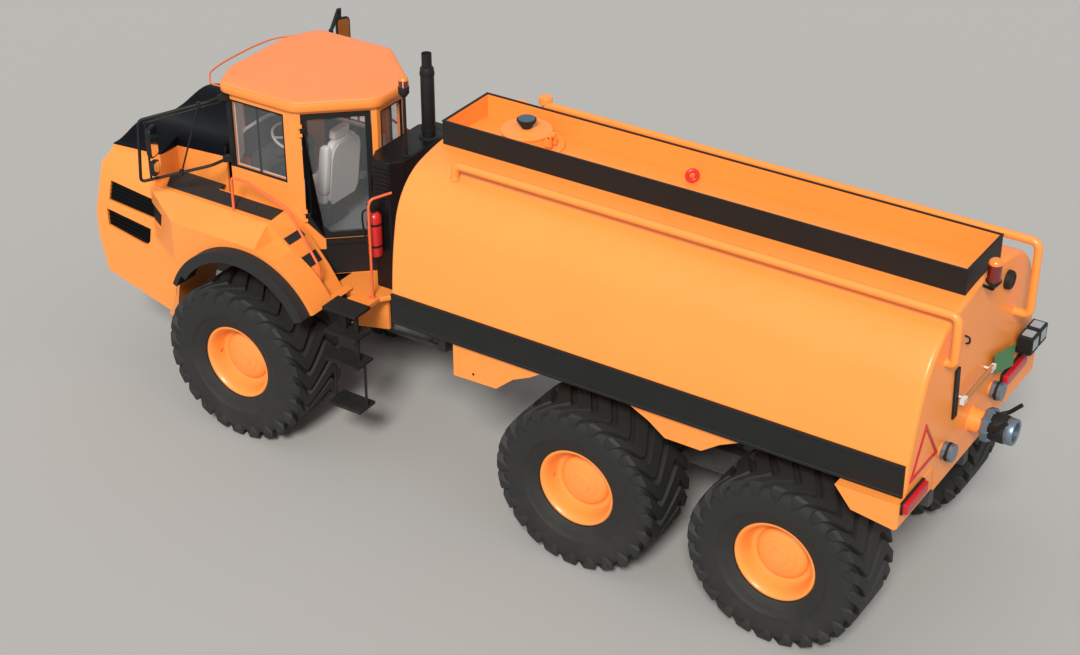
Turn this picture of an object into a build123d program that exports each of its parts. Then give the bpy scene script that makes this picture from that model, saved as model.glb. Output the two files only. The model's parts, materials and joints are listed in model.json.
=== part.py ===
from build123d import *
import math
import os

# A six-wheel articulated hauler that carries a liquid tank in place of a tipping body.
# Millimetres. X is forward, Y is to the driver's left, Z is up from the ground.
os.makedirs("parts", exist_ok=True)

# Whole machine
nose_overhang = 2350
wheelbase = 4440
bogie_spacing = 2250
tank_overhang = 1200
coupling_reach = 460
tail_overhang = wheelbase + bogie_spacing + tank_overhang + coupling_reach
front_axle_x = (tail_overhang - nose_overhang) / 2
middle_axle_x = front_axle_x - wheelbase
rear_axle_x = middle_axle_x - bogie_spacing
axle_z = 935
seat_gap = 0.3

# Tyres and rims
tyre_outer_face_y = 1700
tyre_width = 800
tyre_y = tyre_outer_face_y - tyre_width / 2
tyre_radius = axle_z
lug_depth = 60
lugs_per_side = 18
lug_thickness = 115
lug_sweep = 150
rim_barrel_radius = 400
rim_flange_radius = 440
rim_width = 660
rim_wall = 18
rim_disc_inset = 150
hub_radius = 235
hub_proud = 70
spindle_radius = 90
spindle_length = 140

# Articulation
pivot_x = front_axle_x - 1750
hitch_z = 1200
hitch_pin_radius = 55
hitch_block_height = 380
hitch_block_radius = 170
roll_tube_radius = 160
roll_tube_length = 330
working_gap = 8

# Frames
front_rail_y = 350
front_rail_width = 90
front_rail_bottom_z = 1130
front_rail_top_z = 1450
front_rail_rear_x = front_axle_x - 640
rear_rail_y = 420
rear_rail_width = 110
rear_rail_bottom_z = 1300
rear_rail_top_z = 1760
rear_rail_front_x = pivot_x - 560
axle_tube_radius = 130

# Tank
tank_front_x = front_axle_x - 1950
tank_rear_x = rear_axle_x - tank_overhang
tank_top_z = 3690
tank_front_rake = 180
crown_radius = 3200
shoulder_radius = 800
flank_radius = 4000
crown_angle = 13
shoulder_angle = 68
flank_angle = 78
tank_half_width = 1500
tank_side_bottom_z = 2080
tank_belly_z = rear_rail_top_z
tank_belly_half_width = 800
skirt_top_z = 2430
skirt_bottom_z = 2085
skirt_thickness = 30

# Deck coaming on top of the tank
coaming_front_x = tank_front_x - 80
coaming_rear_x = tank_rear_x + 50
tank_edge_round = 50
coaming_half_width = 410
coaming_top_z = 3930
coaming_wall = 20
manhole_x = tank_front_x - 850
manhole_radius = 260
manhole_neck_top_z = 3850
manhole_wall = 15
manhole_well_depth = 420
lid_thickness = 25
lid_hinge_x = manhole_x - manhole_radius - 45
lid_hinge_z = manhole_neck_top_z + 12
lid_pin_radius = 10

# Front body
nose_front_x = front_axle_x + nose_overhang - 30
nose_half_width = 1200
nose_wall = 30
nose_bottom_front_z = 1230
nose_bottom_rear_z = 960
nose_step_x = front_axle_x + 1450
hood_front_x = front_axle_x + 2150
hood_front_z = 2800
hood_hinge_x = hood_front_x + 35
hood_hinge_z = hood_front_z + 12
hood_knuckle_y = 700
hinge_pin_radius = 8
hinge_play = 0.05
hood_rear_z = 2900
hood_half_width = nose_half_width - 200
hood_narrow_half_width = 715
platform_z = 2540
fender_outer_y = nose_half_width + 300
fender_outer_z = 2390
walkway_edge_y = nose_half_width - 40
arch_centre_x = front_axle_x - 110
arch_centre_z = 1320
arch_outer_radius = 1060
arch_inner_radius = 1010
flare_thickness = 60
flare_reach = 150

# Cab
cab_front_x = front_axle_x + 720
cab_corner_x = front_axle_x + 560
cab_post_x = front_axle_x - 400
cab_rear_x = front_axle_x - 1050
cab_half_width = 820
cab_front_half_width = 480
cab_rear_half_width = 250
cab_floor_z = 1960
cab_base_z = 1780
cab_roof_z = 3780
cab_wall = 60
window_sill_z = 2900
window_head_z = 3690
roof_overhang = 60
roof_edge_height = 110
roof_crown_height = 80
glass_thickness = 10
door_thickness = 60
door_gap = 6


def block(x, y, z, mode=Mode.ADD):
    """A box between two bounds on each axis."""
    centre = ((x[0] + x[1]) / 2, (y[0] + y[1]) / 2, (z[0] + z[1]) / 2)
    with Locations(centre):
        Box(x[1] - x[0], y[1] - y[0], z[1] - z[0], mode=mode)


def side_plate(points, y, mode=Mode.ADD):
    """An outline in side view, as X and Z pairs, that fills the span between two Y values."""
    with BuildSketch(Plane(origin=(0, y[0], 0), x_dir=(1, 0, 0), z_dir=(0, -1, 0))) as outline:
        with BuildLine():
            Polyline(*points, close=True)
        make_face()
    extrude(outline.sketch, amount=-(y[1] - y[0]), mode=mode)


def plan_plate(points, z, mode=Mode.ADD):
    """An outline in plan, as X and Y pairs, that fills the span between two heights."""
    with BuildSketch(Plane.XY.offset(z[0])) as outline:
        with BuildLine():
            Polyline(*points, close=True)
        make_face()
    extrude(outline.sketch, amount=z[1] - z[0], mode=mode)


def rod(start, end, radius, mode=Mode.ADD):
    """A round bar between two points."""
    axis = Vector(*end) - Vector(*start)
    with BuildSketch(Plane(origin=start, z_dir=axis)) as section:
        Circle(radius)
    extrude(section.sketch, amount=axis.length, mode=mode)


def tube(points, radius, bend):
    """A round bar that follows a route with equal bends."""
    with BuildLine():
        route = FilletPolyline(*points, radius=bend)
    with BuildSketch(Plane(origin=route @ 0, z_dir=route % 0)) as section:
        Circle(radius)
    sweep(section.sketch, path=route)


# Tyre: a carcass with two rows of slanted lugs, the rows half a pitch apart
lug_root_radius = tyre_radius - lug_depth
lug_half_span = (lug_thickness + lug_sweep) / 2
lug_top_radius = math.sqrt(tyre_radius**2 - lug_half_span**2)
lug_inner_y = 25
lug_outer_y = tyre_width / 2
lug_bury = 40
bead_half_width = rim_width / 2 - 25
carcass_sides = 2 * lugs_per_side
carcass_section = (
    (bead_half_width - seat_gap, rim_flange_radius + 30),
    (tyre_width / 2 - 25, rim_flange_radius + 65),
    (tyre_width / 2 - 10, lug_root_radius - 30),
    (tyre_width / 2 - 50, lug_root_radius),
)
with BuildPart() as tyre_form:
    rings = [(-y, radius) for y, radius in carcass_section]
    rings += [(y, radius) for y, radius in reversed(carcass_section)]
    for y, radius in rings:
        with BuildSketch(Plane.XZ.offset(-y)):
            RegularPolygon(radius, carcass_sides)
    loft(ruled=True)
    with Locations(Location((0, 0, 0), (90, 0, 0))):
        Cylinder(rim_barrel_radius + seat_gap, tyre_width, mode=Mode.SUBTRACT)

with BuildPart() as lug_pair:
    pitch = 360 / lugs_per_side
    for side, turn in ((1, 0), (-1, pitch / 2)):
        lug_plane = Plane(
            origin=(
                (lug_root_radius - lug_bury) * math.sin(math.radians(turn)),
                0,
                (lug_root_radius - lug_bury) * math.cos(math.radians(turn)),
            ),
            x_dir=(math.cos(math.radians(turn)), 0, -math.sin(math.radians(turn))),
            z_dir=(math.sin(math.radians(turn)), 0, math.cos(math.radians(turn))),
        )
        with BuildSketch(lug_plane):
            with BuildLine():
                Polyline(
                    (-lug_half_span, side * lug_outer_y),
                    (-lug_half_span + lug_thickness, side * lug_outer_y),
                    (lug_half_span, side * lug_inner_y),
                    (lug_half_span - lug_thickness, side * lug_inner_y),
                    close=True,
                )
            make_face()
        extrude(amount=lug_top_radius - lug_root_radius + lug_bury)

with BuildPart(Plane.XZ) as tread:
    with PolarLocations(0, lugs_per_side):
        add(lug_pair.part.rotate(Axis.X, 90))

# Wheel: a dished rim with flanges, and a planetary hub with a blind bore for the spindle
disc_y = rim_width / 2 - rim_disc_inset
with BuildPart() as rim_form:
    with BuildSketch(Plane.XY):
        with BuildLine():
            Polyline(
                (rim_barrel_radius, -bead_half_width),
                (rim_flange_radius, -bead_half_width),
                (rim_flange_radius, -rim_width / 2),
                (rim_barrel_radius - rim_wall, -rim_width / 2),
                (rim_barrel_radius - rim_wall, disc_y - 60),
                (hub_radius, disc_y - 90),
                (hub_radius - 20, -rim_width / 2 + 40),
                (spindle_radius + seat_gap, -rim_width / 2 + 40),
                (spindle_radius + seat_gap, -rim_width / 2 + 40 + spindle_length),
                (0, -rim_width / 2 + 40 + spindle_length),
                (0, disc_y + hub_proud),
                (hub_radius - 75, disc_y + hub_proud),
                (hub_radius - 55, disc_y + 15),
                (hub_radius, disc_y - 10),
                (rim_barrel_radius - 60, disc_y),
                (rim_barrel_radius - rim_wall, disc_y + 60),
                (rim_barrel_radius - rim_wall, rim_width / 2),
                (rim_flange_radius, rim_width / 2),
                (rim_flange_radius, bead_half_width),
                (rim_barrel_radius, bead_half_width),
                close=True,
            )
        make_face()
    revolve(axis=Axis.Y)

with BuildPart() as tyre_whole:
    add(tyre_form.part)
    add(tread.part)

axle_places = (
    ("front", front_axle_x),
    ("middle", middle_axle_x),
    ("rear", rear_axle_x),
)
for axle_name, axle_x in axle_places:
    for side_name, side in (("left", 1), ("right", -1)):
        wheel_name = axle_name + "_" + side_name
        with BuildPart() as tyre:
            with Locations((axle_x, side * tyre_y, axle_z)):
                add(tyre_whole.part)
        tyre.part.label = "tyre_" + wheel_name
        export_step(tyre.part, "parts/tyre_" + wheel_name + ".step")
        with BuildPart() as rim:
            with Locations(Location((axle_x, side * tyre_y, axle_z), (0, 0, 90 - 90 * side))):
                add(rim_form.part)
        rim.part.label = "rim_" + wheel_name
        export_step(rim.part, "parts/rim_" + wheel_name + ".step")

# Axles: a tube with a differential bulge and a spindle at each end
spindle_inner_y = tyre_y - rim_width / 2 + 40
axle_flange_y = spindle_inner_y - 6


def axle_housing(axle_x):
    """An axle turned about its own line: bulge, tube, flanges and spindles."""
    with BuildSketch(Plane(origin=(axle_x, 0, axle_z), x_dir=(1, 0, 0), z_dir=(0, 0, 1))) as outline:
        with BuildLine():
            Polyline(
                (0, -spindle_inner_y - spindle_length + 5),
                (spindle_radius, -spindle_inner_y - spindle_length + 5),
                (spindle_radius, -axle_flange_y),
                (axle_tube_radius + 40, -axle_flange_y),
                (axle_tube_radius + 40, -axle_flange_y + 60),
                (axle_tube_radius, -axle_flange_y + 80),
                (axle_tube_radius, -320),
                (260, -120),
                (260, 120),
                (axle_tube_radius, 320),
                (axle_tube_radius, axle_flange_y - 80),
                (axle_tube_radius + 40, axle_flange_y - 60),
                (axle_tube_radius + 40, axle_flange_y),
                (spindle_radius, axle_flange_y),
                (spindle_radius, spindle_inner_y + spindle_length - 5),
                (0, spindle_inner_y + spindle_length - 5),
                close=True,
            )
        make_face()
    revolve(outline.sketch, axis=Axis((axle_x, 0, axle_z), (0, 1, 0)))


# The front axle also carries two upright struts under the frame rails
with BuildPart() as front_axle:
    axle_housing(front_axle_x)
    for side in (1, -1):
        rod(
            (front_axle_x, side * 600, axle_z),
            (front_axle_x, side * 600, front_rail_top_z + 150),
            70,
        )
front_axle.part.label = "front_axle"
export_step(front_axle.part, "parts/front_axle.step")

with BuildPart() as rear_axles:
    axle_housing(middle_axle_x)
    axle_housing(rear_axle_x)
rear_axles.part.label = "rear_axles"
export_step(rear_axles.part, "parts/rear_axles.step")

# Walking beams: one each side, pinned to the rear frame halfway between its axles
beam_y = 620
beam_half_width = 70
beam_bottom_z = axle_z + axle_tube_radius + seat_gap
bogie_centre_x = (middle_axle_x + rear_axle_x) / 2
with BuildPart() as bogie_beams:
    for side in (1, -1):
        span = (side * beam_y - beam_half_width, side * beam_y + beam_half_width)
        side_plate(
            (
                (middle_axle_x - 150, beam_bottom_z),
                (middle_axle_x + 150, beam_bottom_z),
                (middle_axle_x + 150, beam_bottom_z + 130),
                (bogie_centre_x + 220, beam_bottom_z + 230),
                (bogie_centre_x - 220, beam_bottom_z + 230),
                (rear_axle_x - 150, beam_bottom_z + 130),
                (rear_axle_x - 150, beam_bottom_z),
                (rear_axle_x + 150, beam_bottom_z),
                (bogie_centre_x - 400, beam_bottom_z - 60),
                (bogie_centre_x + 400, beam_bottom_z - 60),
            ),
            span,
        )
bogie_beams.part.label = "bogie_beams"
export_step(bogie_beams.part, "parts/bogie_beams.step")

# Rear frame: two rails, cross tubes, the bogie pivots and the bearing for the roll tube
roll_housing_rear_x = pivot_x - 560
roll_housing_front_x = roll_housing_rear_x + roll_tube_length
with BuildPart() as rear_frame:
    for side in (1, -1):
        span = (side * rear_rail_y - rear_rail_width / 2, side * rear_rail_y + rear_rail_width / 2)
        block((tank_rear_x + 150, rear_rail_front_x), span, (rear_rail_bottom_z, rear_rail_top_z))
    for cross_x in (tank_rear_x + 250, rear_axle_x, middle_axle_x, middle_axle_x + 900):
        block((cross_x - 60, cross_x + 60), (-rear_rail_y, rear_rail_y), (1450, 1650))
    block(
        (roll_housing_rear_x - 120, roll_housing_rear_x),
        (-rear_rail_y - rear_rail_width / 2, rear_rail_y + rear_rail_width / 2),
        (hitch_z - 240, rear_rail_top_z),
    )
    rod(
        (roll_housing_rear_x, 0, hitch_z),
        (roll_housing_front_x, 0, hitch_z),
        roll_tube_radius + 60,
    )
    rod(
        (roll_housing_rear_x + 10, 0, hitch_z),
        (roll_housing_front_x, 0, hitch_z),
        roll_tube_radius + seat_gap,
        mode=Mode.SUBTRACT,
    )
    for side in (1, -1):
        inner = rear_rail_y + rear_rail_width / 2
        outer = beam_y - beam_half_width
        span = (min(side * inner, side * outer), max(side * inner, side * outer))
        block((bogie_centre_x - 160, bogie_centre_x + 160), span, (beam_bottom_z, rear_rail_top_z))
rear_frame.part.label = "rear_frame"
export_step(rear_frame.part, "parts/rear_frame.step")

# Tank: one barrel-topped body with a raked front head and a manhole neck, solid below its well
with BuildPart() as tank:
    with BuildSketch(Plane.YZ.offset(tank_rear_x)):
        with BuildLine() as half:
            crown = JernArc((0, tank_top_z), (1, 0), crown_radius, -crown_angle)
            shoulder = JernArc(crown @ 1, crown % 1, shoulder_radius, crown_angle - shoulder_angle)
            flank = JernArc(shoulder @ 1, shoulder % 1, flank_radius, shoulder_angle - flank_angle)
            Polyline(
                flank @ 1,
                (tank_half_width, skirt_top_z),
                (tank_half_width, tank_side_bottom_z),
                (tank_belly_half_width + 80, tank_side_bottom_z),
                (tank_belly_half_width, tank_belly_z),
                (0, tank_belly_z),
                (0, tank_top_z),
            )
        make_face()
        mirror(about=Plane.YZ)
    extrude(amount=tank_front_x - tank_rear_x)
    tail_edges = [edge for edge in tank.edges().group_by(Axis.X)[0] if edge.center().Z > skirt_bottom_z + 5]
    fillet(tail_edges, tank_edge_round)
    side_plate(
        (
            (tank_front_x, tank_top_z),
            (tank_front_x + 10, tank_top_z),
            (tank_front_x + 10, tank_belly_z - 10),
            (tank_front_x - tank_front_rake - 40, tank_belly_z - 10),
            (tank_front_x - tank_front_rake - 40, tank_side_bottom_z - 200),
        ),
        (-tank_half_width - 10, tank_half_width + 10),
        mode=Mode.SUBTRACT,
    )
    with Locations((manhole_x, 0, manhole_neck_top_z)):
        Cylinder(
            manhole_radius,
            manhole_neck_top_z - tank_top_z + 20,
            align=(Align.CENTER, Align.CENTER, Align.MAX),
        )
        Cylinder(
            manhole_radius - manhole_wall,
            manhole_neck_top_z - tank_top_z + manhole_well_depth,
            align=(Align.CENTER, Align.CENTER, Align.MAX),
            mode=Mode.SUBTRACT,
        )
    for lug_y in ((-60, -30), (30, 60)):
        block((lid_hinge_x - 24, manhole_x - manhole_radius + 8), lug_y, (3760, manhole_neck_top_z - 10))
        block((lid_hinge_x - 24, lid_hinge_x + 24), lug_y, (3800, lid_hinge_z + 22))
    rod((lid_hinge_x, -60, lid_hinge_z), (lid_hinge_x, 60, lid_hinge_z), lid_pin_radius)
tank.part.label = "tank"
export_step(tank.part, "parts/tank.step")

# Side skirts: a dark folded band along each flank
with BuildPart() as side_skirts:
    for side in (1, -1):
        inner = tank_half_width
        span = (min(side * inner, side * (inner + skirt_thickness)), max(side * inner, side * (inner + skirt_thickness)))
        block((tank_rear_x + 20, tank_front_x - tank_front_rake + 10), span, (skirt_bottom_z, skirt_top_z))
side_skirts.part.label = "side_skirts"
export_step(side_skirts.part, "parts/side_skirts.step")

# Rear mudguards: a scalloped plate along each flank over both wheels, ending in a guard behind the last one
mudguard_y = (905, 1640)
arch_plate_y = (1440, 1470)
arch_rise_z = 2045
arch_scallop_radius = 1420
arch_scallop_z = 720
arch_tooth_z = 1800


def scallop_reach(z):
    """Half the width of a wheel's scallop at a height."""
    return math.sqrt(arch_scallop_radius**2 - (z - arch_scallop_z) ** 2)


with BuildPart() as rear_mudguards:
    for side in (1, -1):
        span = (min(side * arch_plate_y[0], side * arch_plate_y[1]), max(side * arch_plate_y[0], side * arch_plate_y[1]))
        side_plate(
            (
                (middle_axle_x + 1590, tank_side_bottom_z),
                (middle_axle_x + 1590, 1665),
                (middle_axle_x + 1060, 1680),
                (middle_axle_x + 850, 1861),
                (middle_axle_x + 657, 1952),
                (middle_axle_x + scallop_reach(arch_rise_z), arch_rise_z),
                (middle_axle_x - scallop_reach(arch_rise_z), arch_rise_z),
                (middle_axle_x - scallop_reach(1940), 1940),
                (middle_axle_x - scallop_reach(arch_tooth_z), arch_tooth_z),
                (rear_axle_x + scallop_reach(arch_tooth_z), arch_tooth_z),
                (rear_axle_x + scallop_reach(1940), 1940),
                (rear_axle_x + scallop_reach(arch_rise_z), arch_rise_z),
                (rear_axle_x - scallop_reach(arch_rise_z), arch_rise_z),
                (rear_axle_x - scallop_reach(arch_rise_z) - 80, tank_side_bottom_z),
            ),
            span,
        )
        span = (min(side * mudguard_y[0], side * mudguard_y[1]), max(side * mudguard_y[0], side * mudguard_y[1]))
        side_plate(
            (
                (rear_axle_x - 560, tank_side_bottom_z),
                (rear_axle_x - 740, 1863),
                (tank_rear_x + 20, 1800),
                (tank_rear_x - 10, 1830),
                (tank_rear_x - 10, tank_side_bottom_z),
            ),
            span,
        )
rear_mudguards.part.label = "rear_mudguards"
export_step(rear_mudguards.part, "parts/rear_mudguards.step")

# Coaming: a long upright frame on the crown, round the manhole and its neck
with BuildPart() as coaming:
    block(
        (coaming_rear_x, coaming_front_x),
        (-coaming_half_width, coaming_half_width),
        (tank_top_z - 40, coaming_top_z),
    )
    block(
        (coaming_rear_x + coaming_wall, coaming_front_x - coaming_wall),
        (-coaming_half_width + coaming_wall, coaming_half_width - coaming_wall),
        (tank_top_z - 50, coaming_top_z + 10),
        mode=Mode.SUBTRACT,
    )
    add(tank.part, mode=Mode.SUBTRACT)
coaming.part.label = "coaming"
export_step(coaming.part, "parts/coaming.step")

# Manhole lid with a conical vent cap
lid_z = manhole_neck_top_z + seat_gap
with BuildPart() as manhole_lid:
    with Locations((manhole_x, 0, lid_z)):
        Cylinder(manhole_radius + 12, lid_thickness, align=(Align.CENTER, Align.CENTER, Align.MIN))
    with Locations((manhole_x, 0, lid_z + lid_thickness)):
        Cone(90, 55, 70, align=(Align.CENTER, Align.CENTER, Align.MIN))
    block((lid_hinge_x, manhole_x - manhole_radius), (-24, 24), (lid_z, lid_z + lid_thickness))
    rod((lid_hinge_x, -24, lid_hinge_z), (lid_hinge_x, 24, lid_hinge_z), 24)
    rod(
        (lid_hinge_x, -30, lid_hinge_z),
        (lid_hinge_x, 30, lid_hinge_z),
        lid_pin_radius + 0.05,
        mode=Mode.SUBTRACT,
    )
manhole_lid.part.label = "manhole_lid"
export_step(manhole_lid.part, "parts/manhole_lid.step")

# Shoulder rails: a bent tube along each shoulder, down over the tail and back into it
rail_y = 940
rail_z = 3780
rail_radius = 42
rail_front_x = tank_front_x - 605
rail_rear_x = tank_rear_x - 110
with BuildPart() as shoulder_rails:
    for side in (1, -1):
        tube(
            (
                (rail_front_x, side * rail_y, 3450),
                (rail_front_x, side * rail_y, rail_z),
                (rail_rear_x, side * rail_y, rail_z),
                (rail_rear_x, side * rail_y, 3200),
                (tank_rear_x + 50, side * rail_y, 3200),
            ),
            rail_radius,
            70,
        )
        for share in (1 / 3, 2 / 3):
            post_x = rail_front_x + (rail_rear_x - rail_front_x) * share
            rod((post_x, side * rail_y, 3450), (post_x, side * rail_y, rail_z), 25)
    add(tank.part, mode=Mode.SUBTRACT)
shoulder_rails.part.label = "shoulder_rails"
export_step(shoulder_rails.part, "parts/shoulder_rails.step")

# Vents on the right shoulder: a mushroom cowl and a low cap
with BuildPart() as shoulder_vents:
    with Locations((front_axle_x - 2430, -930, 3400)):
        Cylinder(45, 310, align=(Align.CENTER, Align.CENTER, Align.MIN))
    with Locations((front_axle_x - 2430, -930, 3710)):
        Cylinder(76, 70, align=(Align.CENTER, Align.CENTER, Align.MIN))
    with Locations((front_axle_x - 2150, -840, 3500)):
        Cylinder(90, 170, align=(Align.CENTER, Align.CENTER, Align.MIN))
    add(tank.part, mode=Mode.SUBTRACT)
shoulder_vents.part.label = "shoulder_vents"
export_step(shoulder_vents.part, "parts/shoulder_vents.step")

# Tail pipes: the large suction stub with its coupling, and two small couplings
suction_z = 2120
suction_radius = 120
with BuildPart() as tail_couplings:
    rod((tank_rear_x, 0, suction_z), (tank_rear_x - 250, 0, suction_z), suction_radius)
    rod((tank_rear_x - 200, 0, suction_z), (tank_rear_x - 230, 0, suction_z), suction_radius + 45)
    rod((tank_rear_x - 250, 0, suction_z), (-tail_overhang + front_axle_x, 0, suction_z), suction_radius + 15)
    rod(
        (-tail_overhang + front_axle_x + 150, 0, suction_z),
        (-tail_overhang + front_axle_x, 0, suction_z),
        suction_radius - 20,
        mode=Mode.SUBTRACT,
    )
    for pipe_y, pipe_z in ((710, 2170), (-450, 2220)):
        rod((tank_rear_x, pipe_y, pipe_z), (tank_rear_x - 50, pipe_y, pipe_z), 70)
        rod((tank_rear_x - 50, pipe_y, pipe_z), (tank_rear_x - 130, pipe_y, pipe_z), 45)
tail_couplings.part.label = "tail_couplings"
export_step(tail_couplings.part, "parts/tail_couplings.step")

# Lamps and boxes on the tail
with BuildPart() as tail_lamps:
    for side in (1, -1):
        span = (side * 1240 - 130, side * 1240 + 130)
        block((tank_rear_x - 90, tank_rear_x - 10.3), span, (1860, 2040))
    block((tank_rear_x - 80, tank_rear_x), (-1400, -1000), (2290, 2410))
    rod((tank_rear_x, -643, 3333), (tank_rear_x - 35, -643, 3333), 25)
    rod((tank_rear_x - 35, -643, 3333), (tank_rear_x - 100, -643, 3333), 65)
    block((tank_rear_x - 12, tank_rear_x), (20, 200), (3500, 3600))
    block((tank_rear_x - 170, tank_rear_x), (110, 210), (3588, 3600))
    rod((tank_rear_x - 110, 160, 3600), (tank_rear_x - 110, 160, 3730), 22)
    rod((tank_rear_x - 110, 160, 3730), (tank_rear_x - 110, 160, 4000), 60)
tail_lamps.part.label = "tail_lamps"
export_step(tail_lamps.part, "parts/tail_lamps.step")

# Lockers under the tank, ahead of the middle wheels
locker_outer_y = arch_plate_y[0]
with BuildPart() as side_lockers:
    for side in (1, -1):
        inner = rear_rail_y + rear_rail_width / 2
        span = (min(side * inner, side * locker_outer_y), max(side * inner, side * locker_outer_y))
        side_plate(
            (
                (middle_axle_x + 1590, tank_belly_z - 10),
                (middle_axle_x + 1590, 1665),
                (middle_axle_x + 1060, 1680),
                (middle_axle_x + 1060, tank_belly_z - 10),
            ),
            span,
        )
        wide = (min(side * 890, side * locker_outer_y), max(side * 890, side * locker_outer_y))
        block((middle_axle_x + 1060, middle_axle_x + 1590), wide, (tank_belly_z - 10, tank_side_bottom_z))
side_lockers.part.label = "side_lockers"
export_step(side_lockers.part, "parts/side_lockers.step")

# Hitch: a round block on the steering pin, with the roll tube behind it
hitch_low_z = hitch_z - hitch_block_height / 2
hitch_high_z = hitch_z + hitch_block_height / 2
cylinder_anchor_y = 330
with BuildPart() as hitch:
    with Locations((pivot_x, 0, hitch_low_z)):
        Cylinder(hitch_block_radius, hitch_block_height, align=(Align.CENTER, Align.CENTER, Align.MIN))
    block((pivot_x - 225, pivot_x), (-hitch_block_radius, hitch_block_radius), (hitch_low_z, hitch_high_z))
    block((pivot_x - 222, pivot_x - 120), (-400, 400), (hitch_z - 110, hitch_z + 110))
    for side in (1, -1):
        block((pivot_x - 150, pivot_x + 20), (side * 330 - 60, side * 330 + 60), (hitch_z - 110, hitch_z + 110))
        block(
            (pivot_x - 119, pivot_x + 30),
            (side * 330 - 61, side * 330 + 61),
            (hitch_z - 55, hitch_z + 55),
            mode=Mode.SUBTRACT,
        )
        with Locations((pivot_x - 60, side * cylinder_anchor_y, hitch_z)):
            Cylinder(25, 220)
    rod((pivot_x - 222, 0, hitch_z), (roll_housing_rear_x + 15, 0, hitch_z), roll_tube_radius)
    with Locations((pivot_x, 0, hitch_z)):
        Cylinder(hitch_pin_radius + seat_gap, hitch_block_height + 20, mode=Mode.SUBTRACT)
hitch.part.label = "hitch"
export_step(hitch.part, "parts/hitch.step")

# Steering cylinders: pinned on the hitch and held at their rod eyes by ears on the front frame
anchor_x = pivot_x - 60
rod_eye_x = front_axle_x - 850
rod_eye_y = 420
rod_eye_height = 80
barrel_length = 655
rod_inner_end = 365

# Front frame: two rails, a narrow tail between the steering cylinders, and the pin fork
fork_plate = 70
tail_half_width = 170
fork_low_z = hitch_low_z - working_gap
fork_high_z = hitch_high_z + working_gap
with BuildPart() as front_frame:
    for side in (1, -1):
        span = (side * front_rail_y - front_rail_width / 2, side * front_rail_y + front_rail_width / 2)
        block((front_rail_rear_x, nose_front_x - 120), span, (front_rail_bottom_z, front_rail_top_z))
    block(
        (front_rail_rear_x - 60, front_rail_rear_x + 40),
        (-front_rail_y - front_rail_width / 2, front_rail_y + front_rail_width / 2),
        (fork_low_z - fork_plate, front_rail_top_z),
    )
    for side in (1, -1):
        ear = (side * rod_eye_y - 60, side * rod_eye_y + 60)
        for low in (hitch_z - rod_eye_height / 2 - working_gap - 30, hitch_z + rod_eye_height / 2 + working_gap):
            block((rod_eye_x - 40, front_rail_rear_x), ear, (low, low + 30))
    block(
        (pivot_x + hitch_block_radius + 60, front_rail_rear_x),
        (-tail_half_width, tail_half_width),
        (fork_low_z - fork_plate, fork_high_z + fork_plate),
    )
    for low in (fork_low_z - fork_plate, fork_high_z):
        block((pivot_x, front_rail_rear_x), (-tail_half_width, tail_half_width), (low, low + fork_plate))
        with Locations((pivot_x, 0, low)):
            Cylinder(tail_half_width, fork_plate, align=(Align.CENTER, Align.CENTER, Align.MIN))
    with Locations((pivot_x, 0, hitch_z)):
        Cylinder(hitch_pin_radius, fork_high_z - fork_low_z + 2 * fork_plate)
    block((front_axle_x + 600, front_axle_x + 700), (-front_rail_y, front_rail_y), (1200, 1400))
    block(
        (nose_front_x - 220, nose_front_x - 120),
        (-nose_half_width + nose_wall, nose_half_width - nose_wall),
        (1250, 1420),
    )
    for side in (1, -1):
        block((front_axle_x - 130, front_axle_x + 130), (side * 600 - 110, side * 600 + 110), (1600, 1640))
        span = (min(side * 300, side * 700), max(side * 300, side * 700))
        block((front_axle_x - 130, front_axle_x - 90), span, (1350, 1640))
        for mount_x in (front_axle_x - 760, front_axle_x + 480):
            block((mount_x, mount_x + 100), (side * 350 - 45, side * 350 + 45), (front_rail_top_z, cab_base_z))
front_frame.part.label = "front_frame"
export_step(front_frame.part, "parts/front_frame.step")

# Engine: one plain block between the nose walls, on the frame rails
with BuildPart() as engine:
    block(
        (front_axle_x + 800, front_axle_x + 1950),
        (-390, 390),
        (front_rail_top_z, 2420),
    )
engine.part.label = "engine"
export_step(engine.part, "parts/engine.step")

# Steering cylinders: one barrel and one rod each side
for side_name, side in (("left", 1), ("right", -1)):
    base = Vector(anchor_x, side * cylinder_anchor_y, hitch_z)
    eye = Vector(rod_eye_x, side * rod_eye_y, hitch_z)
    along = (eye - base).normalized()
    with BuildPart() as barrel:
        with Locations(base):
            Cylinder(48, 90)
        rod(tuple(base + along * 30), tuple(base + along * barrel_length), 48)
        rod(
            tuple(base + along * 110),
            tuple(base + along * (barrel_length + 5)),
            28 + seat_gap,
            mode=Mode.SUBTRACT,
        )
        with Locations(base):
            Cylinder(25 + seat_gap, 110, mode=Mode.SUBTRACT)
    barrel.part.label = "steer_barrel_" + side_name
    export_step(barrel.part, "parts/steer_barrel_" + side_name + ".step")
    with BuildPart() as piston_rod:
        rod(tuple(base + along * rod_inner_end), tuple(eye - along * 30), 28)
        with Locations(eye):
            Cylinder(45, rod_eye_height)
    piston_rod.part.label = "steer_rod_" + side_name
    export_step(piston_rod.part, "parts/steer_rod_" + side_name + ".step")

# Vents in the nose sides, as X and Z pairs
upper_vent = (
    (front_axle_x + 2120, 2410),
    (front_axle_x + 1180, 2320),
    (front_axle_x + 1250, 2110),
    (front_axle_x + 2140, 2170),
)
lower_vent = (
    (front_axle_x + 2180, 2060),
    (front_axle_x + 1520, 1980),
    (front_axle_x + 1550, 1810),
    (front_axle_x + 1610, 1745),
    (front_axle_x + 1700, 1750),
    (front_axle_x + 2180, 1840),
)
vent_depth_y = 1080

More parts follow.
